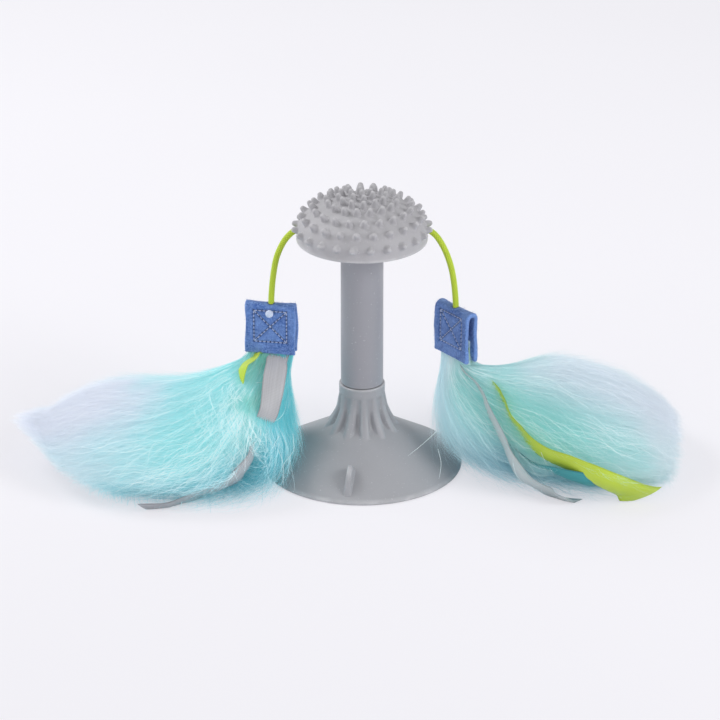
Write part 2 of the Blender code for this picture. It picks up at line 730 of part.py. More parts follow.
class Plume:
    """A fur plume as a loft of egg-shaped sections, each between an upper and a lower line."""

    def __init__(self, way, pad_x, yaw_deg, top, reach, station_shares):
        lower = top - PAD_HEIGHT
        half = PLUME_ROOT_WIDTH / 2
        rows = []
        for level in (lower + PLUME_ROOT_LENGTH, lower - PLUME_NECK_LENGTH):
            rows.append((half, level, -half, level, 0.0, PLUME_ROOT_THICKNESS / 2, 0.0))
        for out_above, above, out_below, below, sway, width in station_shares:
            sizes = (reach * out_above, lower * above, reach * out_below, lower * below)
            rows.append((*sizes, PLUME_WIDTH * sway, PLUME_WIDTH * width, 1.0))
        rows = np.array(rows)
        middle = (rows[:, 0:2] + rows[:, 2:4]) / 2
        self.way = way
        self.pad_x = pad_x
        self.knots = run_lengths(middle)
        self.rows = rows
        self.yaw = math.radians(yaw_deg)
        self.edge = self.knots[1] / self.knots[-1]
        self.fade = self.knots[6] - self.knots[1]

    def surface(self, share, angle):
        """Point on the surface at a share of the run and an angle round its section."""
        run = self.knots[-1] * share
        row = monotone_cubic(self.knots, self.rows, [run])[0]
        upper, lower = row[0:2], row[2:4]
        out, level = (upper + lower) / 2 + (upper - lower) / 2 * math.sin(angle)
        side = row[4] + row[5] * math.cos(angle) * (1 - PLUME_EGG_SHARE * row[6] * math.sin(angle))
        turn = self.yaw * np.clip(1 - (run - self.knots[1]) / self.fade, 0.0, 1.0) ** 1.5
        along, across = self.way * out, side
        return np.array(
            [
                self.pad_x + along * math.cos(turn) - across * math.sin(turn),
                along * math.sin(turn) + across * math.cos(turn),
                max(level, FLOOR_GAP),
            ]
        )

    def tangents(self, share, angle):
        """How the surface runs on with the share, and round its section with the angle."""
        near = FIT_GAP / self.knots[-1]
        run_way = self.surface(share + near, angle) - self.surface(share - near, angle)
        round_way = self.surface(share, angle + near) - self.surface(share, angle - near)
        return np.array([run_way, round_way]) / (2 * near)

    def lifted(self, share, angle, lift):
        """Point above the surface by a lift, and the surface's outward normal there."""
        normal = np.cross(*self.tangents(share, angle)) * -self.way
        normal /= np.linalg.norm(normal)
        return self.surface(share, angle) + normal * lift, normal

    def beside(self, share, angle, side):
        """Share and angle at the end of a short way over the surface, by the midpoint rule."""
        step = np.zeros(2)
        for _ in range(2):
            tangents = self.tangents(share + step[0] / 2, angle + step[1] / 2)
            step = np.linalg.lstsq(tangents.T, side, rcond=None)[0]
        return share + step[0], angle + step[1]

    def make(self, name, axis):
        """The plume's solid: rings of points joined by triangles, closed at both ends."""
        shares = np.concatenate([[0.0], np.linspace(self.edge, 1.0, PLUME_RINGS - 1)])
        angles = [2 * math.pi * i / PLUME_SIDES for i in range(PLUME_SIDES)]
        verts = [self.surface(share, angle) for share in shares for angle in angles]
        make_loft(name, ring_faces(PLUME_RINGS, PLUME_SIDES), verts, "fur_aqua", axis)

    def make_ribbon(self, name, route, layer, finish, axis):
        """A flat ribbon that starts in the pad's slot and lies along the plume, over lower layers."""
        route = np.array(route, float)
        reach = self.knots[-1] * (route[-1, 0] - self.edge)
        below = np.linspace(self.edge, route[-1, 0], int(round(reach / RIBBON_PITCH)) + 1)
        shares = np.concatenate([[route[0, 0]], below])
        count = len(shares)
        angles = np.radians(monotone_cubic(route[:, 0], route[:, 1], shares)[:, 0])
        slack = RIBBON_SLACK + layer * RIBBON_LAYER_SLACK
        level = RIBBON_LIFT + RIBBON_THICKNESS / 2 + layer * (RIBBON_LIFT + RIBBON_THICKNESS)
        lifts = level + slack * np.clip((shares - self.edge) / self.edge, 0.0, 1.0)
        placed = [self.lifted(*where) for where in zip(shares, angles, lifts)]
        middle = np.array([place for place, _ in placed])
        verts = []
        for i, (_, normal) in enumerate(placed):
            ahead, behind = min(i + RIBBON_HEADING_RINGS, count - 1), max(i - RIBBON_HEADING_RINGS, 0)
            side = np.cross(normal, middle[ahead] - middle[behind])
            side *= RIBBON_WIDTH / 2 / np.linalg.norm(side)
            across = [self.beside(shares[i], angles[i], side * way) for way in (-1, 0, 1)]
            points = [self.lifted(*where, lifts[i]) for where in across]
            verts += [place - upwards * RIBBON_THICKNESS / 2 for place, upwards in points]
            verts += [place + upwards * RIBBON_THICKNESS / 2 for place, upwards in reversed(points)]
        make_loft(name, ring_faces(count, len(verts) // count), verts, finish, axis)


def ring_faces(rings, sides):
    """Triangles between successive rings of points, and a face at each end.

    The second half of a ring runs back beside the first, so its quads are split the other way: in a
    thin ribbon the splits of both sides then lie over each other, and never cross.
    """
    faces = [list(range(sides))]
    for ring in range(rings - 1):
        start = ring * sides
        for i in range(sides):
            j = (i + 1) % sides
            a, b, c, d = start + i, start + j, start + sides + j, start + sides + i
            faces += [[a, b, c], [a, c, d]] if 2 * i < sides else [[a, b, d], [b, c, d]]
    last = (rings - 1) * sides
    faces.append(list(range(last, last + sides)))
    return faces


def make_loft(name, faces, verts, finish, axis):
    """A closed loft as a piece, with its normals turned outwards."""
    mesh = bpy.data.meshes.new(name)
    mesh.from_pydata([tuple(v) for v in verts], [], faces)
    bm = bmesh.new()
    bm.from_mesh(mesh)
    bpy.data.meshes.remove(mesh)
    hang(add_object(name, mesh_from_bmesh(name, bm), finish), axis)


def make_tassel(side, way, head_axis, pad_x, top, yaw_deg, route, plume, ribbon_routes):
    """One side of the toy: cord, two knots, felt pad, plume and ribbons."""
    hole = (way * HEAD_RADIUS, 0, CORD_HOLE_Z)
    pivot = (pad_x, 0, top - KNOT_DEPTH)
    sweep_axis = add_axis(side + "_cord_sweep_axis", hole, head_axis)
    lift_axis = add_axis(side + "_tassel_lift_axis", pivot, sweep_axis)
    twist_axis = add_axis(side + "_tassel_twist_axis", pivot, lift_axis)
    make_cord(side + "_cord", route, sweep_axis)
    inner_knot = ball_mesh(side + "_head_knot", KNOT_RADIUS, (way * HEAD_KNOT_X, 0, CORD_HOLE_Z))
    hang(add_object(side + "_head_knot", inner_knot, "cord_green"), head_axis)
    pad_knot = ball_mesh(side + "_pad_knot", KNOT_RADIUS, pivot)
    hang(add_object(side + "_pad_knot", pad_knot, "cord_green"), lift_axis)
    frame = pad_frame(pad_x, yaw_deg)
    make_felt_pad(side + "_felt_pad", frame, top, twist_axis)
    plume.make(side + "_plume", twist_axis)
    for colour, ribbon_route in ribbon_routes.items():
        name, finish = f"{side}_{colour}_ribbon", "ribbon_" + colour
        plume.make_ribbon(name, ribbon_route, RIBBON_LAYER_COUNTS[colour], finish, twist_axis)
    return frame, twist_axis


def make_thread_knot(name, frame, top, axis):
    """The round knot of sewing thread on the front of the left pad."""
    depth = THREAD_KNOT_RADIUS * THREAD_KNOT_FLATNESS_SHARE
    place = frame @ Vector((0, -PAD_THICKNESS / 2 - FIT_GAP - depth, top - THREAD_KNOT_DROP))
    flatten = frame.to_3x3().to_4x4() @ Matrix.Diagonal((1, THREAD_KNOT_FLATNESS_SHARE, 1, 1))
    mesh = ball_mesh(name, THREAD_KNOT_RADIUS, place, flatten)
    hang(add_object(name, mesh, "thread_pale"), axis)


def main():
    """Build the toy from the floor up, then its two tassels."""
    make_suction_cup()
    make_stem()
    head_axis = add_axis("head_turn_axis", (0, 0, HEAD_FLOOR))
    make_head(head_axis)
    left = Plume(-1, LEFT_PAD_X, LEFT_PAD_YAW_DEG, LEFT_PAD_TOP, LEFT_PLUME_REACH, LEFT_PLUME_SHARES)
    frame, axis = make_tassel(
        "left",
        -1,
        head_axis,
        LEFT_PAD_X,
        LEFT_PAD_TOP,
        LEFT_PAD_YAW_DEG,
        LEFT_CORD_ROUTE,
        left,
        {"green": LEFT_GREEN_SHARES, "grey": LEFT_GREY_SHARES, "teal": LEFT_TEAL_SHARES},
    )
    make_thread_knot("left_thread_knot", frame, LEFT_PAD_TOP, axis)
    right = Plume(1, RIGHT_PAD_X, RIGHT_PAD_YAW_DEG, RIGHT_PAD_TOP, RIGHT_PLUME_REACH, RIGHT_PLUME_SHARES)
    make_tassel(
        "right",
        1,
        head_axis,
        RIGHT_PAD_X,
        RIGHT_PAD_TOP,
        RIGHT_PAD_YAW_DEG,
        RIGHT_CORD_ROUTE,
        right,
        {"green": RIGHT_GREEN_SHARES, "grey": RIGHT_GREY_SHARES, "teal": RIGHT_TEAL_SHARES},
    )


main()
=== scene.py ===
"""Looks of the suction cup cat toy, worn by its CAD frame.

Metres, +Z up, the toy's front faces -Y. Each sub-assembly is a class: the suction cup, the stem, the
studded head and, on each side, a tassel of braided cord, felt pad, fur plume and ribbons. Shapes are
worked out as whole numpy grids, and finishes are small classes that build node materials.
"""

import json
import logging
import math
from collections.abc import Callable
from dataclasses import dataclass, field, replace
from enum import Enum
from functools import cache

import bpy
import numpy as np
from mathutils import Matrix, Vector

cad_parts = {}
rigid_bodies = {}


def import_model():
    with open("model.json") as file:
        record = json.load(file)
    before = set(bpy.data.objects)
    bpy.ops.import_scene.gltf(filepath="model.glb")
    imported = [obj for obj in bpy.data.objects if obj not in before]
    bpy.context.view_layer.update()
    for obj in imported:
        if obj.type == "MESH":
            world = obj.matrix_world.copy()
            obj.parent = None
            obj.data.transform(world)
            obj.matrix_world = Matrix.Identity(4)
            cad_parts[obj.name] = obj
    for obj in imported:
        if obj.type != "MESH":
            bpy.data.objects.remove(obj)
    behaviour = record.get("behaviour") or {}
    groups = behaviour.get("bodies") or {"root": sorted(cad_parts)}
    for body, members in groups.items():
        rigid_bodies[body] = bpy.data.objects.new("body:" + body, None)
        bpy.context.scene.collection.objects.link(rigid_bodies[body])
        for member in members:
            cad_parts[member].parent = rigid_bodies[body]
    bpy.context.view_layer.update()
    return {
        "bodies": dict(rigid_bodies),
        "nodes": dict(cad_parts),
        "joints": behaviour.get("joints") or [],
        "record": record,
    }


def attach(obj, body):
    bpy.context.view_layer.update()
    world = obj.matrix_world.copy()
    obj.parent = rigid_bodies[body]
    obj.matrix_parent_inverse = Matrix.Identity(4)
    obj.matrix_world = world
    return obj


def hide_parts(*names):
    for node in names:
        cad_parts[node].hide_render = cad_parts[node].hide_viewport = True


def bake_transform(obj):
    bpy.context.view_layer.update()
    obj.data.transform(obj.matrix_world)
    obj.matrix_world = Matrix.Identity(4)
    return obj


Array = np.ndarray
Marks = dict[str, Array]
Colour = tuple[float, float, float]
Socket = bpy.types.NodeSocket
LOG = logging.getLogger("cat_toy")
TURN = 2 * math.pi


class Side(Enum):
    """Which side of the toy a tassel hangs on: its way along X."""

    LEFT = -1
    RIGHT = 1

    @property
    def label(self) -> str:
        """The side's name in the frame."""
        return self.name.lower()


class Tone(Enum):
    """The three colours of ribbon in each tassel."""

    GREEN = "green"
    GREY = "grey"
    TEAL = "teal"


# ---------------------------------------------------------------- arrays and meshes


def colour(red: int, green: int, blue: int) -> Colour:
    """Linear light of a colour as a screen shows it.

    Args:
        red: 0 to 255, as are green and blue.

    Returns:
        Three values, 0 to 1.
    """
    shown = np.array([red, green, blue]) / 255
    light = np.where(shown <= 0.04045, shown / 12.92, ((shown + 0.055) / 1.055) ** 2.4)
    return tuple(float(x) for x in light)


def shades(*codes: tuple[int, int, int]) -> tuple[Colour, ...]:
    """Linear light of several colours as a screen shows them."""
    return tuple(colour(*code) for code in codes)


def smooth(values: Array | float, low: float, high: float) -> Array:
    """0 below low, 1 above high, and 3t^2 - 2t^3 of the share t between them."""
    t = np.clip((np.asarray(values, float) - low) / (high - low), 0.0, 1.0)
    return t * t * (3 - 2 * t)


def lerp(a: Array | float, b: Array | float, t: Array | float) -> Array:
    """The value a share t of the way from a to b."""
    return a + (b - a) * t


def unit(vectors: Array) -> Array:
    """Vectors of length one along the last axis."""
    return vectors / np.maximum(np.linalg.norm(vectors, axis=-1, keepdims=True), 1e-12)


def run_lengths(points: Array) -> Array:
    """The length along a run of points up to each of them."""
    return np.concatenate([[0.0], np.cumsum(np.linalg.norm(np.diff(points, axis=0), axis=1))])


def monotone_cubic(knots: Array, values: Array, at: Array) -> Array:
    """Smooth values through knots that never overshoot them.

    The slope at an inner knot is the harmonic mean of the slopes beside it, or none where they
    differ in sign; between two knots the value is the cubic with those end slopes.

    Args:
        knots: increasing places of the values.
        values: one row for each knot.
        at: places to read, in an array of one dimension.

    Returns:
        One row for each place.
    """
    knots, at = np.asarray(knots, float), np.asarray(at, float)
    values = np.asarray(values, float).reshape(len(knots), -1)
    width = np.diff(knots)[:, None]
    slope = np.diff(values, axis=0) / width
    inner = np.zeros_like(slope[1:])
    same = slope[:-1] * slope[1:] > 0
    inner[same] = 2 * slope[:-1][same] * slope[1:][same] / (slope[:-1][same] + slope[1:][same])
    tangent = np.vstack([slope[:1], inner, slope[-1:]])
    i = np.clip(np.searchsorted(knots, at, side="right") - 1, 0, len(knots) - 2)
    h = width[i]
    t = (at - knots[i])[:, None] / h
    return (
        values[i] * (1 + 2 * t) * (1 - t) ** 2
        + tangent[i] * h * t * (1 - t) ** 2
        + values[i + 1] * t**2 * (3 - 2 * t)
        + tangent[i + 1] * h * t**2 * (t - 1)
    )


def wobble(places: Array, scale: float, seed: int) -> Array:
    """Soft noise: the mean of six sine waves that run in fixed directions at random phases.

    Args:
        places: points in an array whose last axis holds x, y and z.
        scale: waves per metre of the longest wave.
        seed: picks the directions and phases.

    Returns:
        Values from about -1 to 1, one for each point.
    """
    dice = np.random.default_rng(seed)
    ways = unit(dice.normal(size=(6, 3))) * scale * np.array([1, 1.3, 1.7, 2.3, 3.1, 4.1])[:, None]
    waves = np.sin(TURN * (places @ ways.T) + dice.uniform(0, TURN, 6))
    return waves @ np.array([0.30, 0.25, 0.18, 0.12, 0.09, 0.06]) * 1.6


def stacked(*columns: Array | float) -> Array:
    """Values side by side along a new last axis, spread to one shape."""
    return np.stack(np.broadcast_arrays(*columns), axis=-1)


def around(count: int) -> Array:
    """Angles in equal steps round a full turn."""
    return np.arange(count) * TURN / count


def circle(side: Array, other: Array, turn: Array) -> Array:
    """Ways round a circle: by the angles' cosine along one way and by their sine along another."""
    return side[..., None, :] * np.cos(turn)[:, None] + other[..., None, :] * np.sin(turn)[:, None]


@dataclass
class Patch:
    """A stretch of surface: its points, its quads and triangles, UV places and marks.

    Attributes:
        points: one row of x, y and z for each point.
        quads: four point numbers for each quad.
        quad_uv: a UV place for each corner of each quad.
        tris: three point numbers for each triangle.
        tri_uv: a UV place for each corner of each triangle.
        marks: named values, one for each point, which the materials read.
    """

    points: Array
    quads: Array
    quad_uv: Array
    tris: Array = field(default_factory=lambda: np.zeros((0, 3), int))
    tri_uv: Array = field(default_factory=lambda: np.zeros((0, 3, 2)))
    marks: dict[str, Array] = field(default_factory=dict)

    def moved(self, matrix: Matrix) -> "Patch":
        """The same patch carried by a matrix."""
        m = np.array(matrix)
        return replace(self, points=self.points @ m[:3, :3].T + m[:3, 3])

    def outward(self) -> "Patch":
        """The same patch with its faces turned away from the middle of its points.

        The sign is that of the sum, over the faces, of the face's normal along its place from the middle.
        """
        middle = self.points.mean(axis=0)
        total = 0.0
        for faces in (self.quads[:, [0, 1, 2]], self.quads[:, [0, 2, 3]], self.tris):
            a, b, c = (self.points[faces[:, k]] - middle for k in range(3))
            total += float(np.einsum("ij,ij->", a, np.cross(b, c)))
        if total >= 0:
            return self
        turned_over = (rows[:, ::-1] for rows in (self.quads, self.quad_uv, self.tris, self.tri_uv))
        return Patch(self.points, *turned_over, self.marks)

    @staticmethod
    def joined(patches: list["Patch"]) -> "Patch":
        """One patch of several, each with its own points."""
        starts = np.cumsum([0] + [len(p.points) for p in patches[:-1]])
        parts = [(p.points, p.quads + s, p.quad_uv, p.tris + s, p.tri_uv) for p, s in zip(patches, starts)]
        names = sorted({name for p in patches for name in p.marks})
        marks = {n: np.concatenate([p.marks.get(n, np.zeros(len(p.points))) for p in patches]) for n in names}
        return Patch(*(np.concatenate(part) for part in zip(*parts)), marks)

    def piece(self, name: str, material: bpy.types.Material, sharp_deg: float = 180.0) -> bpy.types.Object:
        """A mesh object of the patch, linked to the scene.

        Args:
            name: the piece's name.
            material: its finish.
            sharp_deg: an edge that turns by more than this shades as an edge.

        Returns:
            The object, at the origin.
        """
        mesh = bpy.data.meshes.new(name)
        corners = np.concatenate([self.quads.reshape(-1), self.tris.reshape(-1)]).astype(np.int32)
        sizes = np.repeat([4, 3], [len(self.quads), len(self.tris)]).astype(np.int32)
        starts = np.concatenate([[0], np.cumsum(sizes)[:-1]]).astype(np.int32)
        mesh.vertices.add(len(self.points))
        mesh.vertices.foreach_set("co", self.points.astype(np.float32).reshape(-1))
        mesh.loops.add(len(corners))
        mesh.loops.foreach_set("vertex_index", corners)
        mesh.polygons.add(len(sizes))
        mesh.polygons.foreach_set("loop_start", starts)
        mesh.polygons.foreach_set("loop_total", sizes)
        mesh.update(calc_edges=True)
        uv = np.concatenate([self.quad_uv.reshape(-1, 2), self.tri_uv.reshape(-1, 2)])
        layer = mesh.uv_layers.new(name="UVMap")
        layer.data.foreach_set("uv", uv.astype(np.float32).reshape(-1))
        for mark, values in self.marks.items():
            attribute = mesh.attributes.new(mark, "FLOAT", "POINT")
            attribute.data.foreach_set("value", values.astype(np.float32))
        mesh.validate()
        mesh.shade_smooth()
        if sharp_deg < 180:
            mesh.set_sharp_from_angle(angle=math.radians(sharp_deg))
        mesh.materials.append(material)
        piece = bpy.data.objects.new(name, mesh)
        bpy.context.scene.collection.objects.link(piece)
        return piece


def grid_patch(points: Array, wrap: bool = False, loop: bool = False, marks: Marks | None = None) -> Patch:
    """A patch of quads between the rows and columns of a grid of points.

    UV is the share of the rows and of the columns. Its faces point to the right of a column's way
    as seen by who goes along the rows.

    Args:
        points: rows x columns x 3.
        wrap: the last column joins the first.
        loop: the last row joins the first.
        marks: values for each point, rows x columns.

    Returns:
        The patch.
    """
    rows, cols = points.shape[:2]
    along, across = rows - (not loop), cols - (not wrap)
    i, j = np.meshgrid(np.arange(along), np.arange(across), indexing="ij")
    near, far = i * cols, ((i + 1) % rows) * cols
    left, right = j, (j + 1) % cols
    quads = stacked(near + left, near + right, far + right, far + left).reshape(-1, 4)
    uv = stacked(stacked(j, j + 1, j + 1, j) / across, stacked(i, i, i + 1, i + 1) / along)
    kept = {name: np.asarray(values, float).reshape(-1) for name, values in (marks or {}).items()}
    return Patch(points.reshape(-1, 3), quads, uv.reshape(-1, 4, 2), marks=kept)


def closed_patch(grid: Array, marks: Marks | None = None, foot: bool = True) -> Patch:
    """A closed form of a grid whose columns join: fans close its last row and, with a foot, its first."""
    patch = grid_patch(grid, wrap=True, marks=marks)
    rows, cols = grid.shape[:2]
    points, tris, uvs = [patch.points], [], []
    count, j = len(patch.points), np.arange(cols)
    kept = {name: [values] for name, values in patch.marks.items()}
    for start in (0, (rows - 1) * cols) if foot else ((rows - 1) * cols,):
        ring = start + j
        fan = stacked(ring, start + (j + 1) % cols, count)
        points.append(patch.points[ring].mean(axis=0)[None])
        tris.append(fan if start else fan[:, ::-1])
        uvs.append(np.full((cols, 3, 2), 1.0 if start else 0.0))
        for name, values in kept.items():
            values.append([patch.marks[name][ring].mean()])
        count += 1
    marks = {name: np.concatenate(values) for name, values in kept.items()}
    whole = (np.concatenate(points), patch.quads, patch.quad_uv, np.concatenate(tris), np.concatenate(uvs))
    return Patch(*whole, marks).outward()


def turned(profile: Array, cols: int) -> Array:
    """Grid of a half section, rows of radius and height, carried round Z in as many columns."""
    radius, height = profile[:, 0:1], profile[:, 1:2]
    turn = around(cols)
    return stacked(radius * np.cos(turn), radius * np.sin(turn), height)


def sweep(path: Array, radii: Array, sides: int) -> Array:
    """Grid of a tube: rings square to a path, at the distance radii from it.

    The rings' frame is carried along the path without twist: each next side way is the last one
    less its part along the new direction.

    Args:
        path: points the tube follows.
        radii: rows x sides, or rows x 1.
        sides: points round a ring.

    Returns:
        Grid, one row for each path point.
    """
    ahead = unit(np.gradient(path, axis=0))
    side = np.zeros_like(path)
    start = np.cross(ahead[0], [0.0, 1.0, 0.0])
    side[0] = unit(start if np.linalg.norm(start) > 1e-3 else np.cross(ahead[0], [1.0, 0.0, 0.0]))
    for i in range(1, len(path)):
        side[i] = unit(side[i - 1] - ahead[i] * (side[i - 1] @ ahead[i]))
    return path[:, None] + circle(side, np.cross(ahead, side), around(sides)) * np.asarray(radii)[..., None]


def worn_by(piece: bpy.types.Object, body: str, solid: str = "") -> bpy.types.Object:
    """The piece, which rides a body and may stand for a solid of the frame."""
    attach(piece, body)
    if solid:
        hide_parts(solid)
    return piece


# ---------------------------------------------------------------- node materials


class Recipe:
    """Adds nodes to one node tree and joins them."""

    def __init__(self, tree: bpy.types.NodeTree) -> None:
        """Starts with an empty tree."""
        self.tree = tree
        tree.nodes.clear()

    def node(self, kind: str, inputs: dict | None = None, **settings: object) -> bpy.types.Node:
        """A new shader node.

        Args:
            kind: the end of the node's type, after ShaderNode.
            inputs: sockets or constants for its inputs, by name or number.
            settings: values of its own fields.

        Returns:
            The node.
        """
        made = self.tree.nodes.new("ShaderNode" + kind)
        for name, value in settings.items():
            setattr(made, name, value)
        for key, value in (inputs or {}).items():
            if isinstance(value, bpy.types.NodeSocket):
                self.tree.links.new(value, made.inputs[key])
            elif isinstance(value, tuple) and len(value) == 3 and made.inputs[key].type == "RGBA":
                made.inputs[key].default_value = (*value, 1.0)
            else:
                made.inputs[key].default_value = value
        return made

    def math(self, operation: str, a: object, b: object = 0.0, clamp: bool = False) -> Socket:
        """The outcome of a Math node."""
        return self.node("Math", {0: a, 1: b}, operation=operation, use_clamp=clamp).outputs[0]

    def times(self, a: object, b: object) -> Socket:
        """A product."""
        return self.math("MULTIPLY", a, b)

    def plus(self, a: object, b: object, clamp: bool = False) -> Socket:
        """A sum, which may be kept between 0 and 1."""
        return self.math("ADD", a, b, clamp)

    def swing(self, value: object, size: object, middle: float = 0.5) -> Socket:
        """How far a value lies from its middle, times a size."""
        return self.times(self.math("SUBTRACT", value, middle), size)

    def noise(self, where: object, scale: float, detail: float = 3.0, rough: float = 0.55) -> Socket:
        """The grey value of a noise texture."""
        inputs = {"Vector": where, "Scale": scale, "Detail": detail, "Roughness": rough}
        return self.node("TexNoise", inputs).outputs[0]

    def range(self, value: object, low: float, high: float, start: float = 0.0, end: float = 1.0) -> Socket:
        """A value carried smoothly from one range to another, and kept inside it."""
        inputs = {0: value, 1: low, 2: high, 3: start, 4: end}
        return self.node("MapRange", inputs, interpolation_type="SMOOTHSTEP").outputs[0]

    def mix(self, share: object, a: object, b: object, blend: str = "MIX") -> Socket:
        """The colour between two colours."""
        return self.node("Mix", {0: share, 6: a, 7: b}, data_type="RGBA", blend_type=blend).outputs[2]

    def tinted(self, tone: object, mask: object, most: float, tint: object) -> Socket:
        """A tone with a tint laid over it by a mask, at the most by a share."""
        return self.mix(self.times(mask, most), tone, tint)

    def scaled(self, where: object, size: tuple[float, float, float]) -> Socket:
        """Coordinates stretched along their axes."""
        return self.node("Mapping", {"Vector": where, "Scale": size}).outputs[0]

    def bump(self, height: object, strength: float, distance: float) -> Socket:
        """The normal that a height gives."""
        return self.node("Bump", {"Height": height, "Strength": strength, "Distance": distance}).outputs[0]

    def objects(self) -> Socket:
        """Object coordinates."""
        return self.node("TexCoord").outputs["Object"]

    def uv(self) -> Socket:
        """The piece's own UV map."""
        return self.node("UVMap", uv_map="UVMap").outputs[0]

    def mark(self, name: str) -> Socket:
        """A named value that the piece's points carry."""
        return self.node("Attribute", attribute_name=name).outputs["Fac"]

    def seen(self) -> Socket:
        """1 where the camera looks, also through something, and 0 for light that bounces."""
        path = self.node("LightPath").outputs
        return self.math("MAXIMUM", path["Is Camera Ray"], path["Is Transmission Ray"])

    def effect(self, tree: bpy.types.NodeTree, **inputs: object) -> bpy.types.NodeOutputs:
        """The outputs of a shared effect, placed with its own values."""
        return self.node("Group", inputs, node_tree=tree).outputs

    def surface(self, through: float = 0.0, **inputs: object) -> None:
        """The Principled shader, a share of light let through from behind, and the material's output."""
        named = {key.replace("_", " ").title().replace("Ior", "IOR"): value for key, value in inputs.items()}
        shown = self.node("BsdfPrincipled", named).outputs[0]
        if through > 0:
            behind = self.node("BsdfTranslucent", {"Color": inputs["base_color"]}).outputs[0]
            shown = self.node("MixShader", {0: through, 1: shown, 2: behind}).outputs[0]
        self.node("OutputMaterial", {"Surface": shown})


def shared_effect(**ins: object) -> Callable:
    """Turns a function that fills a node group into one that makes the group once and returns it.

    The function gets a recipe and the group's inputs, and returns the group's outputs by name.
    Colour is a colour there, and every other output a number.

    Args:
        ins: the inputs' first values by name: none for a vector, a tuple for a colour.

    Returns:
        The decorator.
    """

    def decorate(fill: Callable[..., dict[str, Socket]]) -> Callable[[], bpy.types.NodeTree]:
        @cache
        def group() -> bpy.types.NodeTree:
            tree = bpy.data.node_groups.new(fill.__name__, "ShaderNodeTree")
            recipe = Recipe(tree)
            for label, value in ins.items():
                kind = "Vector" if value is None else "Color" if isinstance(value, tuple) else "Float"
                kind = f"NodeSocket{kind}"
                socket = tree.interface.new_socket(name=label, in_out="INPUT", socket_type=kind)
                if value is not None:
                    socket.default_value = value
            first = tree.nodes.new("NodeGroupInput")
            made = fill(recipe, *(first.outputs[label] for label in ins))
            for label in made:
                kind = "Color" if label == "Colour" else "Float"
                tree.interface.new_socket(name=label, in_out="OUTPUT", socket_type=f"NodeSocket{kind}")
            last = tree.nodes.new("NodeGroupOutput")
            for label, socket in made.items():
                tree.links.new(socket, last.inputs[label])
            return tree

        return group

    return decorate


@shared_effect(Where=None, Base=(0.5, 0.5, 0.5, 1), Cloud=0.1, Grain=1500.0, Gloss=0.5)
def moulded_skin(r: Recipe, where: Socket, base: Socket, cloud: Socket, grain: Socket, gloss: Socket) -> dict:
    """Moulded rubber or plastic: cloudy tone, fine dust specks and a soft grain.

    Its colour is the base colour, less or more by a wide and a fine noise, with pale specks
    where a third noise is at its highest.
    """
    wide = r.noise(where, 34.0, 2.0)
    fine = r.noise(where, 420.0, 3.0, 0.6)
    tone = r.plus(r.swing(wide, 1.3), r.math("SUBTRACT", fine, 0.5))
    tone = r.plus(r.times(tone, cloud), 1.0)
    shade = r.node("CombineColor", {0: tone, 1: tone, 2: tone}).outputs[0]
    speck = r.range(r.noise(where, 1100.0, 1.0), 0.70, 0.78, 0.0, 0.35)
    gloss = r.plus(gloss, r.swing(wide, 0.25), True)
    relief = r.node("TexNoise", {"Vector": where, "Scale": grain, "Detail": 2.0}).outputs[0]
    return {
        "Colour": r.mix(speck, r.mix(1.0, base, shade, "MULTIPLY"), (0.80, 0.80, 0.82)),
        "Roughness": r.plus(gloss, r.times(speck, 0.3), True),
        "Height": r.plus(relief, r.times(fine, 0.6)),
    }


@shared_effect(Where=None, Low=(0.2, 0.2, 0.2, 1), High=(0.8, 0.8, 0.8, 1), Contrast=0.5)
def loose_fibres(r: Recipe, where: Socket, low: Socket, high: Socket, contrast: Socket) -> dict:
    """Matted or combed fibres: fine streaks that cross, as pale and dark threads.

    Two noises are stretched along different ways, and the higher of them is the fibre on top.
    """
    bent = r.node("TexNoise", {"Vector": where, "Scale": 260.0, "Detail": 1.0}).outputs[1]
    swirl = r.node("VectorMath", {0: bent, 1: (0.004, 0.004, 0.004)}, operation="MULTIPLY").outputs[0]
    moved = r.node("VectorMath", {0: where, 1: swirl}, operation="ADD").outputs[0]
    one = r.noise(r.scaled(moved, (1.0, 0.7, 0.16)), 2600.0, 2.0, 0.6)
    two = r.noise(r.scaled(moved, (0.16, 0.7, 1.0)), 2300.0, 2.0, 0.6)
    height = r.range(r.math("MAXIMUM", one, two), 0.42, 0.72)
    return {"Colour": r.mix(r.plus(r.swing(height, contrast), 0.5, True), low, high), "Height": height}


@shared_effect(Place=None, Rows=200.0, Yarns=30.0)
def woven_rows(r: Recipe, place: Socket, rows: Socket, yarns: Socket) -> dict:
    """A narrow woven band: fine cross rows, lengthwise yarns and a firm selvedge at each side.

    Rows and yarns are sine waves of the UV places, in their numbers per band; the selvedge is
    1 in the outer part of the band's width.
    """
    split = r.node("SeparateXYZ", {0: place})
    across, along = split.outputs[0], split.outputs[1]
    row = r.math("SINE", r.times(along, r.times(rows, TURN)))
    yarn = r.math("SINE", r.times(across, r.times(yarns, TURN)))
    edge = r.times(r.math("ABSOLUTE", r.math("SUBTRACT", across, 0.5)), 2.0)
    return {
        "Height": r.plus(r.plus(r.times(row, 0.35), r.times(yarn, 0.25)), 0.5),
        "Selvedge": r.range(edge, 0.86, 0.93),
        "Streak": r.noise(r.scaled(place, (22.0, 0.8, 1.0)), 3.0, 3.0),
    }


@dataclass(frozen=True)
class Finish:
    """A material by its name and what the finishes below add to it."""

    name: str

    def make(self) -> bpy.types.Material:
        """The material, filled."""
        material = bpy.data.materials.new(self.name)
        material.use_nodes = True
        self.fill(Recipe(material.node_tree))
        return material

    def fill(self, r: Recipe) -> None:
        """Adds the finish's nodes."""
        raise NotImplementedError


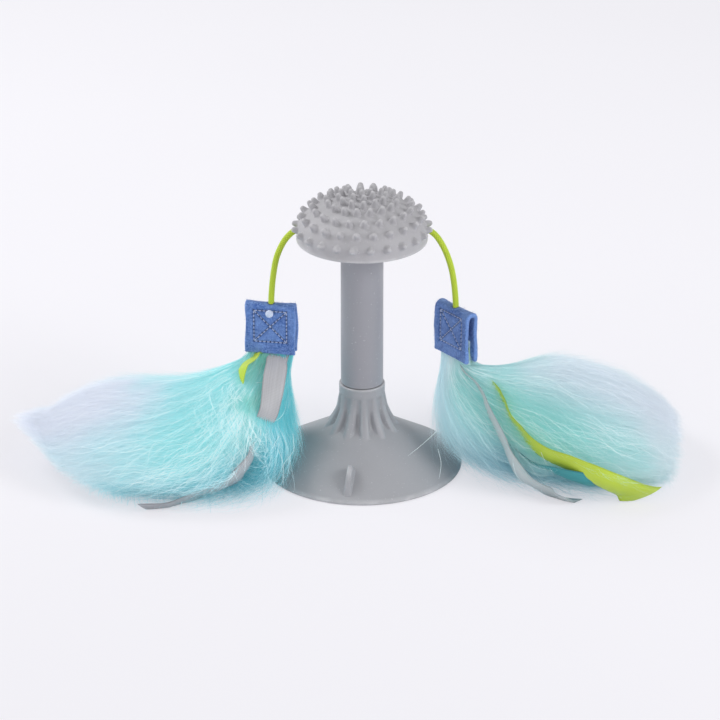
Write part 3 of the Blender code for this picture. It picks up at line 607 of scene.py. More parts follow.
@dataclass(frozen=True)
class MouldedFinish(Finish):
    """Silicone or plastic out of a mould, with painted highlights on the edges and painted shade in the
    recesses that the piece marks.
    """

    base: Colour
    cloud: float
    gloss: float
    grain: float = 1500.0
    relief: float = 0.00004
    sheen: float = 0.0
    coat: float = 0.0

    def fill(self, r: Recipe) -> None:
        """Adds the moulded skin, the painted highlights on the marked edges and the painted shade in the
        marked recesses.
        """
        values = {"Base": self.base, "Cloud": self.cloud, "Grain": self.grain, "Gloss": self.gloss}
        skin = r.effect(moulded_skin(), Where=r.objects(), **values)
        # Painted highlight: where the piece marks an edge, the tone goes, in patches, towards a paler copy of
        # the base.
        worn = r.times(r.mark("edge"), r.range(r.noise(r.objects(), 160.0), 0.3, 0.7, 0.25, 0.75))
        tone = r.mix(worn, skin["Colour"], tuple(min(1.0, 0.25 + 0.9 * x) for x in self.base))
        r.surface(
            # Painted shade: where the piece marks a recess, the tone goes darker.
            base_color=r.tinted(tone, r.mark("seam"), 0.8, tuple(0.45 * x for x in self.base)),
            roughness=skin["Roughness"],
            normal=r.bump(skin["Height"], 0.5, self.relief),
            sheen_weight=self.sheen,
            sheen_roughness=0.4,
            coat_weight=self.coat,
            coat_roughness=0.25,
            subsurface_weight=0.06,
            subsurface_radius=(0.003, 0.003, 0.003),
        )


@dataclass(frozen=True)
class BraidFinish(Finish):
    """Braided polyester cord: a bright yarn, with painted shade where the strands dip under each other."""

    crest: Colour
    valley: Colour

    def fill(self, r: Recipe) -> None:
        """Adds the colour by the strand's height, darker low down as painted shade, and fine filaments along
        each strand.
        """
        height = r.mark("strand")
        filament = r.noise(r.scaled(r.objects(), (1.0, 1.0, 0.5)), 5200.0, 2.0)
        # Painted shade: the low parts of the braid take the darker valley colour.
        tone = r.mix(r.range(height, 0.05, 0.75), self.valley, self.crest)
        r.surface(
            base_color=r.tinted(tone, filament, 0.35, tuple(0.55 * x for x in self.crest)),
            roughness=r.range(filament, 0.3, 0.7, 0.55, 0.8),
            normal=r.bump(r.plus(height, r.times(filament, 0.4)), 0.4, 0.00012),
            sheen_weight=0.35,
            sheen_roughness=0.5,
        )


@dataclass(frozen=True)
class FeltFinish(Finish):
    """Wool felt: matted fibres, painted shade in needle holes and sewn grooves, paler along its edges."""

    low: Colour
    high: Colour
    # The painted shade of the needle holes and of the cord's way in.
    hole: Colour

    def fill(self, r: Recipe) -> None:
        """Adds crossed fibres over a cloudy dye, painted shade in the piece's holes and grooves, and its
        paler edges.
        """
        where = r.objects()
        fibres = r.effect(loose_fibres(), Where=where, Low=self.low, High=self.high, Contrast=1.5)
        cloud = r.range(r.noise(where, 130.0, 3.0), 0.3, 0.7, 0.0, 0.5)
        tone = r.mix(cloud, fibres["Colour"], tuple(1.1 * x for x in self.high))
        tone = r.tinted(tone, r.mark("edge"), 0.35, tuple(min(1.0, 1.25 * x) for x in self.high))
        # Painted shade: darker in the sewn grooves.
        tone = r.tinted(tone, r.mark("groove"), 0.45, self.low)
        r.surface(
            # Painted shade: the hole colour fills the needle holes and the cord's way in at the top.
            base_color=r.mix(r.mark("hole"), tone, self.hole),
            roughness=r.range(fibres["Height"], 0.0, 1.0, 0.98, 0.82),
            normal=r.bump(fibres["Height"], 0.8, 0.00022),
            sheen_weight=0.25,
            sheen_roughness=0.6,
            specular_ior_level=0.2,
        )


@dataclass(frozen=True)
class SatinFinish(Finish):
    """Woven satin ribbon: paler streaks along it as painted sheen, fine cross rows and a firm selvedge.

    Attributes:
        length: the ribbon's, which sets the number of its rows.
        row: metres from one cross row to the next.
    """

    base: Colour
    light: Colour
    dark: Colour
    length: float
    row: float = 0.00045

    def fill(self, r: Recipe) -> None:
        """Adds the woven band, its lustre turned along the ribbon."""
        weave = r.effect(woven_rows(), Place=r.uv(), Rows=self.length / self.row, Yarns=26.0)
        # Painted sheen: lengthwise streaks mix the base towards the light colour.
        tone = r.mix(r.range(weave["Streak"], 0.3, 0.7), self.base, self.light)
        tone = r.tinted(tone, weave["Height"], 0.3, self.dark)
        r.surface(
            base_color=r.tinted(tone, weave["Selvedge"], 0.55, self.dark),
            roughness=r.range(weave["Streak"], 0.2, 0.8, 0.34, 0.52),
            normal=r.bump(r.plus(weave["Height"], weave["Selvedge"]), 0.35, 0.00008),
            anisotropic=0.45,
            sheen_weight=0.25,
            sheen_roughness=0.35,
        )


@dataclass(frozen=True)
class FurFinish(Finish):
    """Dyed fur: colours by the place along the plume, round it, and along each hair.

    The hairs carry four marks: flow is the share of the plume's run, rim tells its upper and outer
    side (1) from its lower and inner side (0), luck differs from hair to hair, and along is the
    share of the hair's own length.

    Attributes:
        crown: painted light, the paler colour of the upper side, over the places that crowned gives.
        inner: the colour of the lower side near the pad, painted shade where darker than the body and painted
            light where paler, as on the right plume; under is the painted shade of its outer half.
        white: what pale hairs and all hair tips go to.
        tip_from, tip_to: the shares of the run between which the body's dye gives way to the tip's.
        paler: the share of the hairs that are paler.
        through: how much of the light that falls on the far side of a hair shines through it.
        soft: how much light spreads inside, as it does in the matted core.
        glow: a little light of the hair's own, for what bounces from hair to hair.
    """

    root: Colour
    body: Colour
    tip: Colour
    crown: Colour
    inner: Colour
    under: Colour
    white: Colour
    tip_from: float
    tip_to: float
    crowned: tuple[float, float] = (0.34, 0.66)
    paler: float = 0.30
    through: float = 0.50
    soft: float = 0.0
    glow: float = 0.12

    def fill(self, r: Recipe) -> None:
        """Adds the root, body and tip dyes, the painted light and shade of the upper and lower sides, and the
        paler hairs.
        """
        flow, rim, along = r.mark("flow"), r.mark("rim"), r.mark("along")
        where = r.plus(flow, r.swing(r.noise(r.objects(), 42.0, 2.0), 0.34))
        where = r.plus(where, r.swing(rim, 0.20, 0.6))
        tone = r.mix(r.range(where, 0.04, 0.26), self.root, self.body)
        tone = r.mix(r.range(where, self.tip_from, self.tip_to), tone, self.tip)
        # Painted light: the upper side goes paler, towards crown.
        upper = r.times(r.range(rim, 0.62, 0.98, 0.0, 0.9), r.range(where, *self.crowned))
        tone = r.mix(upper, tone, self.crown)
        # The lower side near the pad takes inner: painted shade on the left plume, painted light on the
        # right.
        deep = r.times(r.range(rim, 0.42, 0.10), r.range(flow, 0.60, 0.30, 0.0, 0.85))
        tone = r.mix(deep, tone, self.inner)
        # Painted shade: the lower side's outer half goes darker, towards under.
        low = r.times(r.range(rim, 0.46, 0.16, 0.0, 0.85), r.range(flow, 0.24, 0.44))
        tone = r.mix(r.times(low, r.range(flow, 0.95, 0.66)), tone, self.under)
        tone = r.mix(r.range(r.mark("luck"), 1.0 - self.paler, 1.0, 0.0, 0.55), tone, self.white)
        tone = r.tinted(tone, r.times(along, along), 0.30, self.white)
        sheath = r.noise(r.objects(), 900.0, 1.0)
        r.surface(
            through=self.through,
            base_color=tone,
            roughness=r.range(sheath, 0.3, 0.7, 0.66, 0.88),
            normal=r.bump(sheath, 0.15, 0.00004),
            specular_ior_level=0.1,
            sheen_weight=0.2,
            sheen_roughness=0.5,
            subsurface_weight=self.soft,
            subsurface_radius=(0.008, 0.010, 0.010),
            emission_color=tone,
            emission_strength=self.glow,
        )


@dataclass(frozen=True)
class ThreadFinish(Finish):
    """Twisted sewing thread: two plies that wind round it, and a faint lustre."""

    base: Colour
    dark: Colour

    def fill(self, r: Recipe) -> None:
        """Adds the plies as a sine wave of the turn and the length, and a fine fuzz."""
        split = r.node("SeparateXYZ", {0: r.uv()})
        turn = r.plus(split.outputs[0], r.times(split.outputs[1], 3.0))
        ply = r.plus(r.times(r.math("SINE", r.times(turn, 2 * TURN)), 0.5), 0.5)
        fuzz = r.noise(r.objects(), 4200.0, 2.0)
        r.surface(
            base_color=r.tinted(r.tinted(self.base, ply, 0.6, self.dark), fuzz, 0.3, self.dark),
            roughness=r.range(fuzz, 0.3, 0.7, 0.5, 0.75),
            normal=r.bump(ply, 0.4, 0.00005),
            sheen_weight=0.3,
        )


@dataclass(frozen=True)
class FloorFinish(Finish):
    """The studio's pale floor: a plain matt paper with the faintest cloud.

    To the camera the paper shows its own colour for a part, so that it stays even and the
    object's shadow on it stays soft.
    """

    base: Colour
    even: float = 0.60

    def fill(self, r: Recipe) -> None:
        """Adds the paper and the part of it that shows its own colour."""
        cloud = r.range(r.noise(r.objects(), 1.5, 2.0), 0.3, 0.7)
        tone = r.mix(cloud, self.base, tuple(0.985 * x for x in self.base))
        paper = r.node("BsdfDiffuse", {"Color": tone, "Roughness": 0.9}).outputs[0]
        shown = r.node("Emission", {"Color": tone, "Strength": 1.0}).outputs[0]
        both = r.node("MixShader", {0: r.times(r.seen(), self.even), 1: paper, 2: shown}).outputs[0]
        r.node("OutputMaterial", {"Surface": both})


# ---------------------------------------------------------------- suction cup, stem and head


@dataclass
class SuctionCup:
    """The soft cup: cone, buttressed neck, collar, hollow underside and pinch fin."""

    radius: float = 0.050
    height: float = 0.044
    edge: float = 0.0015
    cone_deg: float = 30.6
    seal: float = 0.004
    cavity: float = 0.013
    collar: float = 0.0114
    collar_height: float = 0.0050
    lip: float = 0.0006
    core: float = 0.0110
    fillet_height: float = 0.0110
    fillet_reach: float = 0.0075
    socket: float = 0.0086
    ribs: int = 12
    rib_width: float = 0.0032
    rib_foot: float = 0.0190
    rib_drop: float = 0.0040
    rib_phase_deg: float = 5.0
    rib_flare: float = 0.40
    rib_shoulder: tuple[float, float] = (0.00055, 0.00075)
    fin_deg: float = 261.0
    fin_outer: float = 0.0470
    fin_length: float = 0.0140
    fin_rise: float = 0.0068
    fin_width: float = 0.0033
    fin_flare: float = 0.0008
    fin_shoulder: tuple[float, float] = (0.0006, 0.0005)
    columns: int = 576

    def cone(self, radius: Array | float) -> Array:
        """Height of the cone over a radius."""
        return self.edge + (self.radius - radius) * math.tan(math.radians(self.cone_deg))

    def outer_profile(self) -> Array:
        """The outer half section, rows of radius and height, from the collar's mouth to the rim."""
        top = self.height
        bend = np.radians([0, 30, 60, 90])
        lip = stacked(self.collar - self.lip * (1 - np.sin(bend)), top - self.lip * (1 - np.cos(bend)))
        mouth = [[self.socket, top - 0.0030], [self.socket, top - 0.0004], [self.socket + 0.0003, top]]
        slope = math.tan(math.radians(self.cone_deg))
        end = math.atan2(self.fillet_height, slope * self.fillet_reach)
        foot = self.core + self.fillet_reach * (1 - math.cos(end))
        base = self.cone(foot) - self.fillet_height * (1 - math.sin(end))
        angle = np.linspace(0, end, 26)
        throat = stacked(
            self.core + self.fillet_reach * (1 - np.cos(angle)),
            base + self.fillet_height * (1 - np.sin(angle)),
        )
        low = top - self.collar_height
        collar = np.linspace([self.collar, top - 2 * self.lip], [self.collar - 0.00005, low], 6)
        step = [[self.collar - 0.0002, low - 0.0003]]
        radii = np.linspace(foot, self.radius - 0.0008, 34)[1:]
        bend = np.radians([25, 50, 75, 100, 130, 160, 180])
        r = self.edge / 2
        rim = stacked(self.radius - r + r * np.sin(bend), r + r * np.cos(bend))
        return np.concatenate([mouth, lip, collar, step, throat, stacked(radii, self.cone(radii)), rim])

    def ribbed(self, grid: Array) -> Array:
        """The grid with its ribs: near a rib's line the radius grows to the rib's outer curve.

        The rib reaches the foot radius at the cone and leans in by the square of the height; across
        its width the share of it falls from 1 to 0 over a soft shoulder.
        """
        x, y, z = grid[..., 0], grid[..., 1], grid[..., 2]
        radius, turn = np.hypot(x, y), np.arctan2(y, x)
        top, foot = self.height - self.rib_drop, self.cone(self.rib_foot)
        share = np.clip((top - z) / (top - foot), 0.0, 1.2)
        reach = self.collar + (self.rib_foot - self.collar) * share**2
        gap = TURN / self.ribs
        phase = math.radians(-90 + self.rib_phase_deg)
        off = (turn - phase + gap / 2) % gap - gap / 2
        half = self.rib_width * (1 + self.rib_flare * share) / 2
        away = np.abs(off) * np.maximum(radius, self.core)
        window = 1 - smooth(away, half - self.rib_shoulder[0], half + self.rib_shoulder[1])
        crown = 1 - 0.05 * np.clip(away / half, 0, 1) ** 2
        grown = radius + np.maximum(reach * crown - radius, 0) * window * smooth(share, 0.0, 0.12)
        grown = np.where((z > self.cone(self.rib_foot + 0.004)) & (z < top), grown, radius)
        scale = grown / np.maximum(radius, 1e-9)
        return stacked(x * scale, y * scale, z)

    def shell(self) -> Patch:
        """The turned cup with ribs, closed below by its hollow underside."""
        outer = self.ribbed(turned(self.outer_profile(), self.columns))
        inner, level = self.radius - self.seal, 0.0002
        ring = [[self.radius - 0.0022, 0.0], [inner + 0.0008, 0.0], [inner + level, level]]
        shares = np.concatenate([np.linspace(1, 0.1, 24), [0.05]])
        hollow = stacked(inner * shares, level + self.cavity * (1 - shares**1.6))
        grid = np.concatenate([outer, turned(np.concatenate([ring, hollow]), self.columns)])
        height = grid[..., 2]
        radius = np.hypot(grid[..., 0], grid[..., 1])
        # Painted highlights: paler on the outer rim and on the collar's top edge. Painted shade: darker in
        # the socket's mouth under the stem.
        worn = smooth(radius, self.radius - 0.0016, self.radius - 0.0002) + smooth(height, 0.0432, 0.0439)
        mouth = 1 - smooth(radius, self.socket + 0.0016, self.socket + 0.0021)
        seam = mouth * smooth(height, 0.036, 0.0415)
        return closed_patch(grid, {"edge": np.clip(worn, 0, 1), "seam": seam})

    def fin(self) -> Patch:
        """The pinch fin: its height over the cone is a rounded hump along it, times a wall across it.

        The foot flares out before it sinks into the cone.
        """
        along = np.linspace(0, 1, 46)
        across = np.concatenate([-np.linspace(1, 0, 17) ** 1.6, np.linspace(0, 1, 17)[1:] ** 1.6])
        line = ((0, 0), (0.10, 0.45), (0.26, 0.85), (0.42, 1), (0.62, 1), (0.84, 0.62), (1, 0))
        shares, rises = np.array(line).T
        hump = monotone_cubic(shares, rises, 1 - along)
        half = self.fin_width / 2
        flare = half + self.fin_flare
        s, t = np.meshgrid(along, across * flare, indexing="ij")
        wall = 1 - smooth(np.abs(t), half - self.fin_shoulder[0], half + self.fin_shoulder[1])
        wall *= 1 - 0.12 * (t / half) ** 2 * (np.abs(t) < half)
        foot = 1 - smooth(np.abs(t), half, flare)
        radius = self.fin_outer - self.fin_length * (1 - s)
        high = self.cone(radius) - 0.00015 + 0.0002 * foot + self.fin_rise * hump * wall
        turn = math.radians(self.fin_deg)
        x = radius * math.cos(turn) - t * math.sin(turn)
        y = radius * math.sin(turn) + t * math.cos(turn)
        # Painted highlight: paler along the fin's top.
        worn = 0.8 * smooth(hump * wall, 0.75, 0.98)
        return grid_patch(stacked(x, y, high), marks={"edge": worn}).outward()

    def build(self, material: bpy.types.Material) -> bpy.types.Object:
        """The cup's piece."""
        whole = Patch.joined([self.shell(), self.fin()])
        LOG.info("suction cup: %d points", len(whole.points))
        return worn_by(whole.piece("suction_cup_skin", material), "base", "suction_cup")


@dataclass
class Stem:
    """The straight hollow post between the cup and the head."""

    radius: float = 0.0105
    low: float = 0.0443
    high: float = 0.1197
    spigot: float = 0.0083
    bore: float = 0.0060
    foot: float = 0.0206
    head_spigot: float = 0.0112
    ease: float = 0.0005

    def build(self, material: bpy.types.Material) -> bpy.types.Object:
        """The stem's piece: a turned wall with eased shoulders, its mantle a hair off straight."""
        bend = np.radians(np.linspace(0, 90, 5))
        r, c = self.radius, self.ease
        foot = stacked(r - c + c * np.sin(bend), self.low + c - c * np.cos(bend))
        head = stacked(r - c + c * np.cos(bend), self.high - c + c * np.sin(bend))
        heights = np.linspace(self.low + 2 * c, self.high - 2 * c, 40)
        wall = stacked(r + 0.00003 * np.sin((heights - self.low) * 90), heights)
        top = self.high + self.head_spigot
        inner = [[self.spigot, self.high], [self.spigot, top], [self.bore, top]]
        ends = [[self.bore, self.foot], [self.spigot, self.foot], [self.spigot, self.low]]
        grid = turned(np.concatenate([foot, wall, head, inner, ends]), 144)
        z = grid[..., 2]
        # Painted highlights: paler on the eased shoulders at both ends.
        worn = 1 - smooth(z, self.low + 0.0002, self.low + 0.0010)
        worn = worn + smooth(z, self.high - 0.0010, self.high - 0.0002)
        patch = grid_patch(grid, wrap=True, loop=True, marks={"edge": np.clip(worn, 0, 1) * 0.6})
        LOG.info("stem: %d points", len(patch.points))
        piece = patch.outward().piece("stem_post", material, sharp_deg=50)
        return worn_by(piece, "base", "stem")


@dataclass
class Head:
    """The mushroom head: a shallow soft dome with rings of studs and, where each cord goes in, a dimple
    painted dark as shade.

    Attributes:
        rings: for each ring of studs, its degrees up from the equator, its studs, and its turn.
    """

    radius: float = 0.0316
    rise: float = 0.0175
    floor: float = 0.120
    skirt: float = 0.004
    lip: float = 0.0004
    inner: float = 0.0279
    wall: float = 0.0025
    ledge: float = 0.0012
    plate_top: float = 0.1218
    cord_level: float = 0.1246
    dimple: float = 0.0013
    stud_base: float = 0.00185
    stud_height: float = 0.0031
    stud_extra: float = 0.0010
    stud_sides: int = 12
    rings: tuple = (
        (7.0, 24, 7.5),
        (27.0, 22, -5.0),
        (43.0, 20, 3.0),
        (58.5, 17, -8.0),
        (70.0, 12, 4.0),
        (80.5, 6, 10.0),
        (90.0, 1, 0.0),
    )
    columns: int = 320

    def dome_point(self, polar: Array) -> Array:
        """Radius and height at an angle up from the equator: an ellipse's."""
        return stacked(self.radius * np.cos(polar), self.floor + self.skirt + self.rise * np.sin(polar))

    def shell(self) -> Patch:
        """The dome, skirt, lip, ledge and inner dome as one turned wall, with a dimple at each cord."""
        polar = np.radians(np.linspace(89.4, 0, 64))
        lip, low = self.radius + self.lip, self.floor
        bend = np.radians([0, 30, 60, 90])
        rim = stacked(lip - self.lip + self.lip * np.cos(bend), low + self.lip - self.lip * np.sin(bend))
        skirt = [
            [self.radius + 0.0001, low + 0.0024],
            [self.radius + 0.0002, low + 0.0016],
            [lip, low + 0.0010],
        ]
        seat = self.inner + self.ledge
        under = [[seat + 0.0004, low], [seat, low + 0.0004], [seat, self.plate_top + 0.0003]]
        inside = np.radians(np.linspace(0, 88, 24))
        vault = low + self.skirt + self.wall + (self.rise - 2 * self.wall) * np.sin(inside)
        hollow = stacked(self.inner * np.cos(inside), vault)
        profile = np.concatenate([self.dome_point(polar), skirt, rim, under, hollow])
        grid = turned(profile, self.columns)
        x, y, z = grid[..., 0], grid[..., 1], grid[..., 2]
        radius = np.hypot(x, y)
        away = np.hypot(y, z - self.cord_level)
        outside = radius > self.inner + 0.002
        sunk = self.dimple * (1 - smooth(away, 0.00165, 0.00235)) * outside
        ridge = 0.00018 * np.exp(-(((away - 0.0026) / 0.0004) ** 2)) * outside
        scale = (radius - sunk + ridge) / np.maximum(radius, 1e-9)
        # Painted highlight: paler along the lower lip. Painted shade: darker in the dimple round each cord
        # hole.
        worn = np.exp(-(((z - low - 0.0006) / 0.0006) ** 2)) * (radius > self.radius - 0.0004)
        dark = np.clip(1.4 * (1 - smooth(away, 0.0015, 0.0023)), 0, 1) * (radius > self.inner + 0.0015)
        return closed_patch(stacked(x * scale, y * scale, z), {"edge": worn, "seam": dark})

    def studs(self) -> Patch:
        """All studs, each square to the dome, taller towards the crown, none quite alike.

        A stud has a flared foot, a cone and a round tip, in shares of its foot and its height.
        """
        dice = np.random.default_rng(11)
        radius = np.array([1.42, 1.18, 1.04, 0.97, 0.89, 0.78, 0.65, 0.52, 0.33, 0.13]) * self.stud_base
        height = np.array([-0.10, 0.015, 0.08, 0.17, 0.34, 0.56, 0.78, 0.91, 0.975, 1.0])
        # Painted highlight: paler towards each stud's tip.
        worn = np.broadcast_to(smooth(height, 0.75, 1.0)[:, None] * 0.5, (len(height), self.stud_sides))
        up = np.array([0.0, 0.0, 1.0])
        patches = []
        for polar_deg, count, turn_deg in self.rings:
            polar = math.radians(polar_deg)
            place = self.dome_point(np.array(polar))
            slant = math.atan2(math.sin(polar) / self.rise, math.cos(polar) / self.radius)
            tall = self.stud_height + self.stud_extra * math.sin(polar) ** 2
            turn = np.radians(-90 + turn_deg + 360 * np.arange(count) / count)
            lean = (slant + dice.normal(0, 0.035, count))[:, None]
            size = (1 + dice.normal(0, 0.03, count))[:, None, None, None]
            out, side = stacked(np.cos(turn), np.sin(turn), 0), stacked(-np.sin(turn), np.cos(turn), 0)
            axis = out * np.cos(lean) + up * np.sin(lean)
            over = up * np.cos(lean) - out * np.sin(lean)
            foot = (out * place[0] + up * place[1])[:, None, None]
            ring = circle(side, over, around(self.stud_sides))[:, None] * radius[:, None, None]
            points = foot + axis[:, None, None] * (height * tall)[:, None, None] * size + ring * size
            patches += [closed_patch(stud, {"edge": worn}, foot=False) for stud in points]
        return Patch.joined(patches)

    def build(self, material: bpy.types.Material, plate: bpy.types.Object) -> bpy.types.Object:
        """The dome's piece, and the finish of the base plate."""
        plate.data.materials.clear()
        plate.data.materials.append(material)
        whole = Patch.joined([self.shell(), self.studs()])
        LOG.info("head: %d points", len(whole.points))
        return worn_by(whole.piece("studded_head", material), "head", "head_dome")


# ---------------------------------------------------------------- cords and knots


@dataclass
class Cord:
    """A short braided cord from the stopper knot in the head to the knot in the felt pad."""

    side: Side
    route: list[tuple[float, float, float]]
    diameter: float = 0.0030
    strands: int = 8
    plait: float = 0.0016
    pitch: float = 0.00018
    sides: int = 48

    def path(self) -> Array:
        """Points close together on the smooth curve through the route."""
        route = np.array(self.route)
        knots = run_lengths(route)
        return monotone_cubic(knots, route, np.linspace(0, knots[-1], int(knots[-1] / self.pitch)))

    def strand_height(self, along: Array, turn: Array) -> Array:
        """How high the strands stand, 0 to 1.

        Two families of helices cross. In each cell of their lattice one of them is on top, turn and
        turn about, as a long lobe: the product of two half sines, the one across it the narrower.
        """
        a, b = (self.strands * turn / TURN + way * along / self.plait for way in (1, -1))
        i, j = np.floor(a), np.floor(b)
        across, down = np.sin(math.pi * (a - i)), np.sin(math.pi * (b - j))
        return np.where((i + j) % 2 < 1, across**0.35 * down**1.1, across**1.1 * down**0.35)

    def build(self, material: bpy.types.Material) -> bpy.types.Object:
        """The cord's piece; its length goes to the log."""
        path = self.path()
        runs = run_lengths(path)
        height = self.strand_height(runs[:, None], around(self.sides)[None, :])
        grid = sweep(path, self.diameter / 2 * (0.90 + 0.13 * height), self.sides)
        label = self.side.label
        piece = closed_patch(grid, {"strand": height}).piece(f"{label}_braided_cord", material)
        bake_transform(piece)
        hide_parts(f"{label}_cord")
        LOG.info("%s cord: %.1f mm long", label, 1000 * runs[-1])
        return piece


@dataclass
class CordKnot:
    """An overhand knot pulled tight: the same cord wound into a ball."""

    name: str
    middle: tuple[float, float, float]
    solid: str
    body: str
    radius: float = 0.0024
    thick_share: float = 0.36

    def build(self, material: bpy.types.Material) -> bpy.types.Object:
        """The knot's piece: a tube along a trefoil curve, drawn into the knot's ball."""
        t, turn = around(120), around(20)
        curve = stacked(np.sin(t) + 2 * np.sin(2 * t), np.cos(t) - 2 * np.cos(2 * t), -1.3 * np.sin(3 * t))
        thick = self.thick_share * self.radius
        curve *= (self.radius - thick) / np.linalg.norm(curve, axis=-1).max()
        ahead = unit(np.roll(curve, -1, axis=0) - np.roll(curve, 1, axis=0))
        side = unit(np.cross(ahead, curve))
        one, two = (4 * turn[None, :] + way * 48 * t[:, None] for way in (1, -1))
        height = 0.5 + 0.5 * np.sin(one) * np.sin(two)
        ring = circle(side, np.cross(ahead, side), turn) * (thick * (0.92 + 0.08 * height))[..., None]
        grid = curve[:, None] + ring + np.array(self.middle)
        patch = grid_patch(grid, wrap=True, loop=True, marks={"strand": height})
        return worn_by(patch.outward().piece(self.name, material), self.body, self.solid)


# ---------------------------------------------------------------- felt pads


@dataclass
class FeltPad:
    """A strip of felt folded over the cord's knot and sewn shut with a crossed box of stitches."""

    side: Side
    x: float
    top: float
    yaw_deg: float
    width: float = 0.0252
    height: float = 0.0260
    thick: float = 0.0070
    felt: float = 0.0019
    felt_round: float = 0.0006
    box: float = 0.0082
    box_drop: float = 0.0116
    stitch: float = 0.0021
    groove_width: float = 0.0008
    groove_depth: float = 0.00042
    hole_radius: float = 0.00046
    hole_depth: float = 0.00045
    knot_depth: float = 0.0049
    pocket: float = 0.0027
    fibres: int = 4500
    rows: int = 200
    across: int = 96

    def frame(self) -> Matrix:
        """The pad's place: local X along its width, Y through it, Z up."""
        return Matrix.Translation((self.x, 0, self.top)) @ Matrix.Rotation(math.radians(self.yaw_deg), 4, "Z")

    def middle_run(self) -> float:
        """Half the length of the folded strip along its middle."""
        bend = self.thick / 2 - self.felt / 2
        return self.height - self.thick / 2 + bend * math.pi / 2

    def folded(self, run: Array, lift: Array) -> tuple[Array, Array]:
        """Y and Z of a place in the strip: straight down both flaps, and round the fold between.

        Args:
            run: way along the strip's middle from the fold's top, negative on the front flap.
            lift: way out from the strip's middle.

        Returns:
            Arrays of y and of z, which starts from the pad's top.
        """
        bend = self.thick / 2 - self.felt / 2
        arc = np.clip(run / bend, -math.pi / 2, math.pi / 2)
        past = np.abs(run) - bend * math.pi / 2
        radius = bend + lift
        return radius * np.sin(arc), radius * np.cos(arc) - self.thick / 2 - np.maximum(past, 0)

    def seams(self) -> list[tuple[Array, Array]]:
        """The stitch lines on a flap, as start and end in width and height from the pad's top."""
        b, d = self.box, self.box_drop
        corners = [np.array(c) for c in ((-b, -d + b), (b, -d + b), (b, -d - b), (-b, -d - b))]
        return [(corners[i], corners[j]) for i, j in ((0, 1), (1, 2), (2, 3), (3, 0), (0, 2), (1, 3))]

    def needle_points(self) -> list[tuple[Array, Array]]:
        """Needle holes along each seam, with the stitch that starts at each of them."""
        runs = []
        for start, end in self.seams():
            count = int(round(np.linalg.norm(end - start) / self.stitch))
            shares = np.linspace(0, 1, count + 1)[:, None]
            runs.append((start + (end - start) * shares, (end - start) / count))
        return runs

    def sunk(self, w: Array, z: Array) -> tuple[Array, Array]:
        """How deep the thread draws the felt in, and how close each place is to a needle hole.

        The groove falls off as a bell curve of the distance to the nearest seam, the holes as a
        narrower one of the distance to the nearest hole.
        """
        groove, hole = np.zeros_like(w), np.zeros_like(w)
        for (start, end), (holes, _) in zip(self.seams(), self.needle_points()):
            way = end - start
            share = np.clip(((w - start[0]) * way[0] + (z - start[1]) * way[1]) / (way @ way), 0, 1)
            near = np.hypot(w - start[0] - share * way[0], z - start[1] - share * way[1])
            groove = np.maximum(groove, np.exp(-((near / self.groove_width) ** 2)))
            for place in holes:
                near = np.hypot(w - place[0], z - place[1])
                hole = np.maximum(hole, np.exp(-((near / self.hole_radius) ** 2)))
        return groove, hole

    def section(self) -> Array:
        """The strip's section, rows of width and thickness: two flat faces and two rounded edges."""
        wide, felt, r = self.width / 2, self.felt / 2, self.felt_round
        flat = np.linspace(-wide + r, wide - r, self.across)
        bend = np.radians(np.linspace(-90, 90, 7))[1:-1]
        right = stacked(wide - r + r * np.cos(bend), -felt * np.sin(bend))
        left = stacked(-wide + r - r * np.cos(bend), felt * np.sin(bend))
        return np.concatenate([stacked(flat, felt), right, stacked(flat[::-1], -felt), left])

    def strip(self) -> Patch:
        """The felt: the section carried along the folded run, uneven and drawn in at the seams.

        It thins at its ends, waves at its cut edges and makes room for the cord's knot inside; at its top,
        where the cord goes in, a dark spot of painted shade stands for a hole.
        """
        half, wide, section = self.middle_run(), self.width / 2, self.section()
        run = np.linspace(-half, half, self.rows)
        ends = np.clip((half - np.abs(run)) / self.felt_round, 0, 1)
        ends = np.sqrt(1 - (1 - ends) ** 2)[:, None]
        lift = section[:, 1] * (0.35 + 0.65 * ends)
        along = np.broadcast_to(run[:, None], lift.shape)
        w = section[:, 0] * (1 - 0.012 * (1 - ends))
        w += 0.00035 * np.sin(along * 260 + 2.0 * self.side.value) * (np.abs(w) / wide) ** 3
        outside = lift > 0
        groove, hole = self.sunk(w, self.folded(along, 0.0)[1])
        bow = np.exp(-(((np.abs(w) - wide) / 0.004) ** 2)) * 0.00035
        drawn = self.groove_depth * groove + self.hole_depth * hole
        lift = lift - np.where(outside, drawn, 0.0) + np.where(outside, bow, 0)
        points = stacked(w, *self.folded(along, lift))
        knot = np.array([0.0, 0.0, -self.knot_depth])
        gap = points - knot
        far = np.linalg.norm(gap, axis=-1, keepdims=True)
        points = np.where(~outside[..., None] & (far < self.pocket), knot + gap * self.pocket / far, points)
        fuzz = wobble(points, 420, 5) * 0.00007 + wobble(points, 130, 6) * 0.00010
        points[..., 1] += np.where(outside, fuzz, -fuzz) * np.sign(points[..., 1])
        points[..., 2] += 0.00018 * wobble(points[..., [0, 0, 0]] * np.array([1, 0, 0]), 110, 8) * (1 - ends)
        mouth = np.hypot(points[..., 0], points[..., 1])
        # Painted shade: the hole and groove marks darken the felt at the needle holes, at the cord's way in
        # at the top and in the sewn grooves.
        hole = np.maximum(hole * outside, (1 - smooth(mouth, 0.0015, 0.0023)) * (np.abs(along) < 0.004))
        edge = smooth(np.abs(w), wide - 0.0009, wide - 0.0002) + (1 - smooth(ends, 0.2, 1.0))
        marks = {"hole": np.clip(hole, 0, 1), "groove": groove * outside, "edge": np.clip(edge, 0, 1)}
        return closed_patch(points, marks)

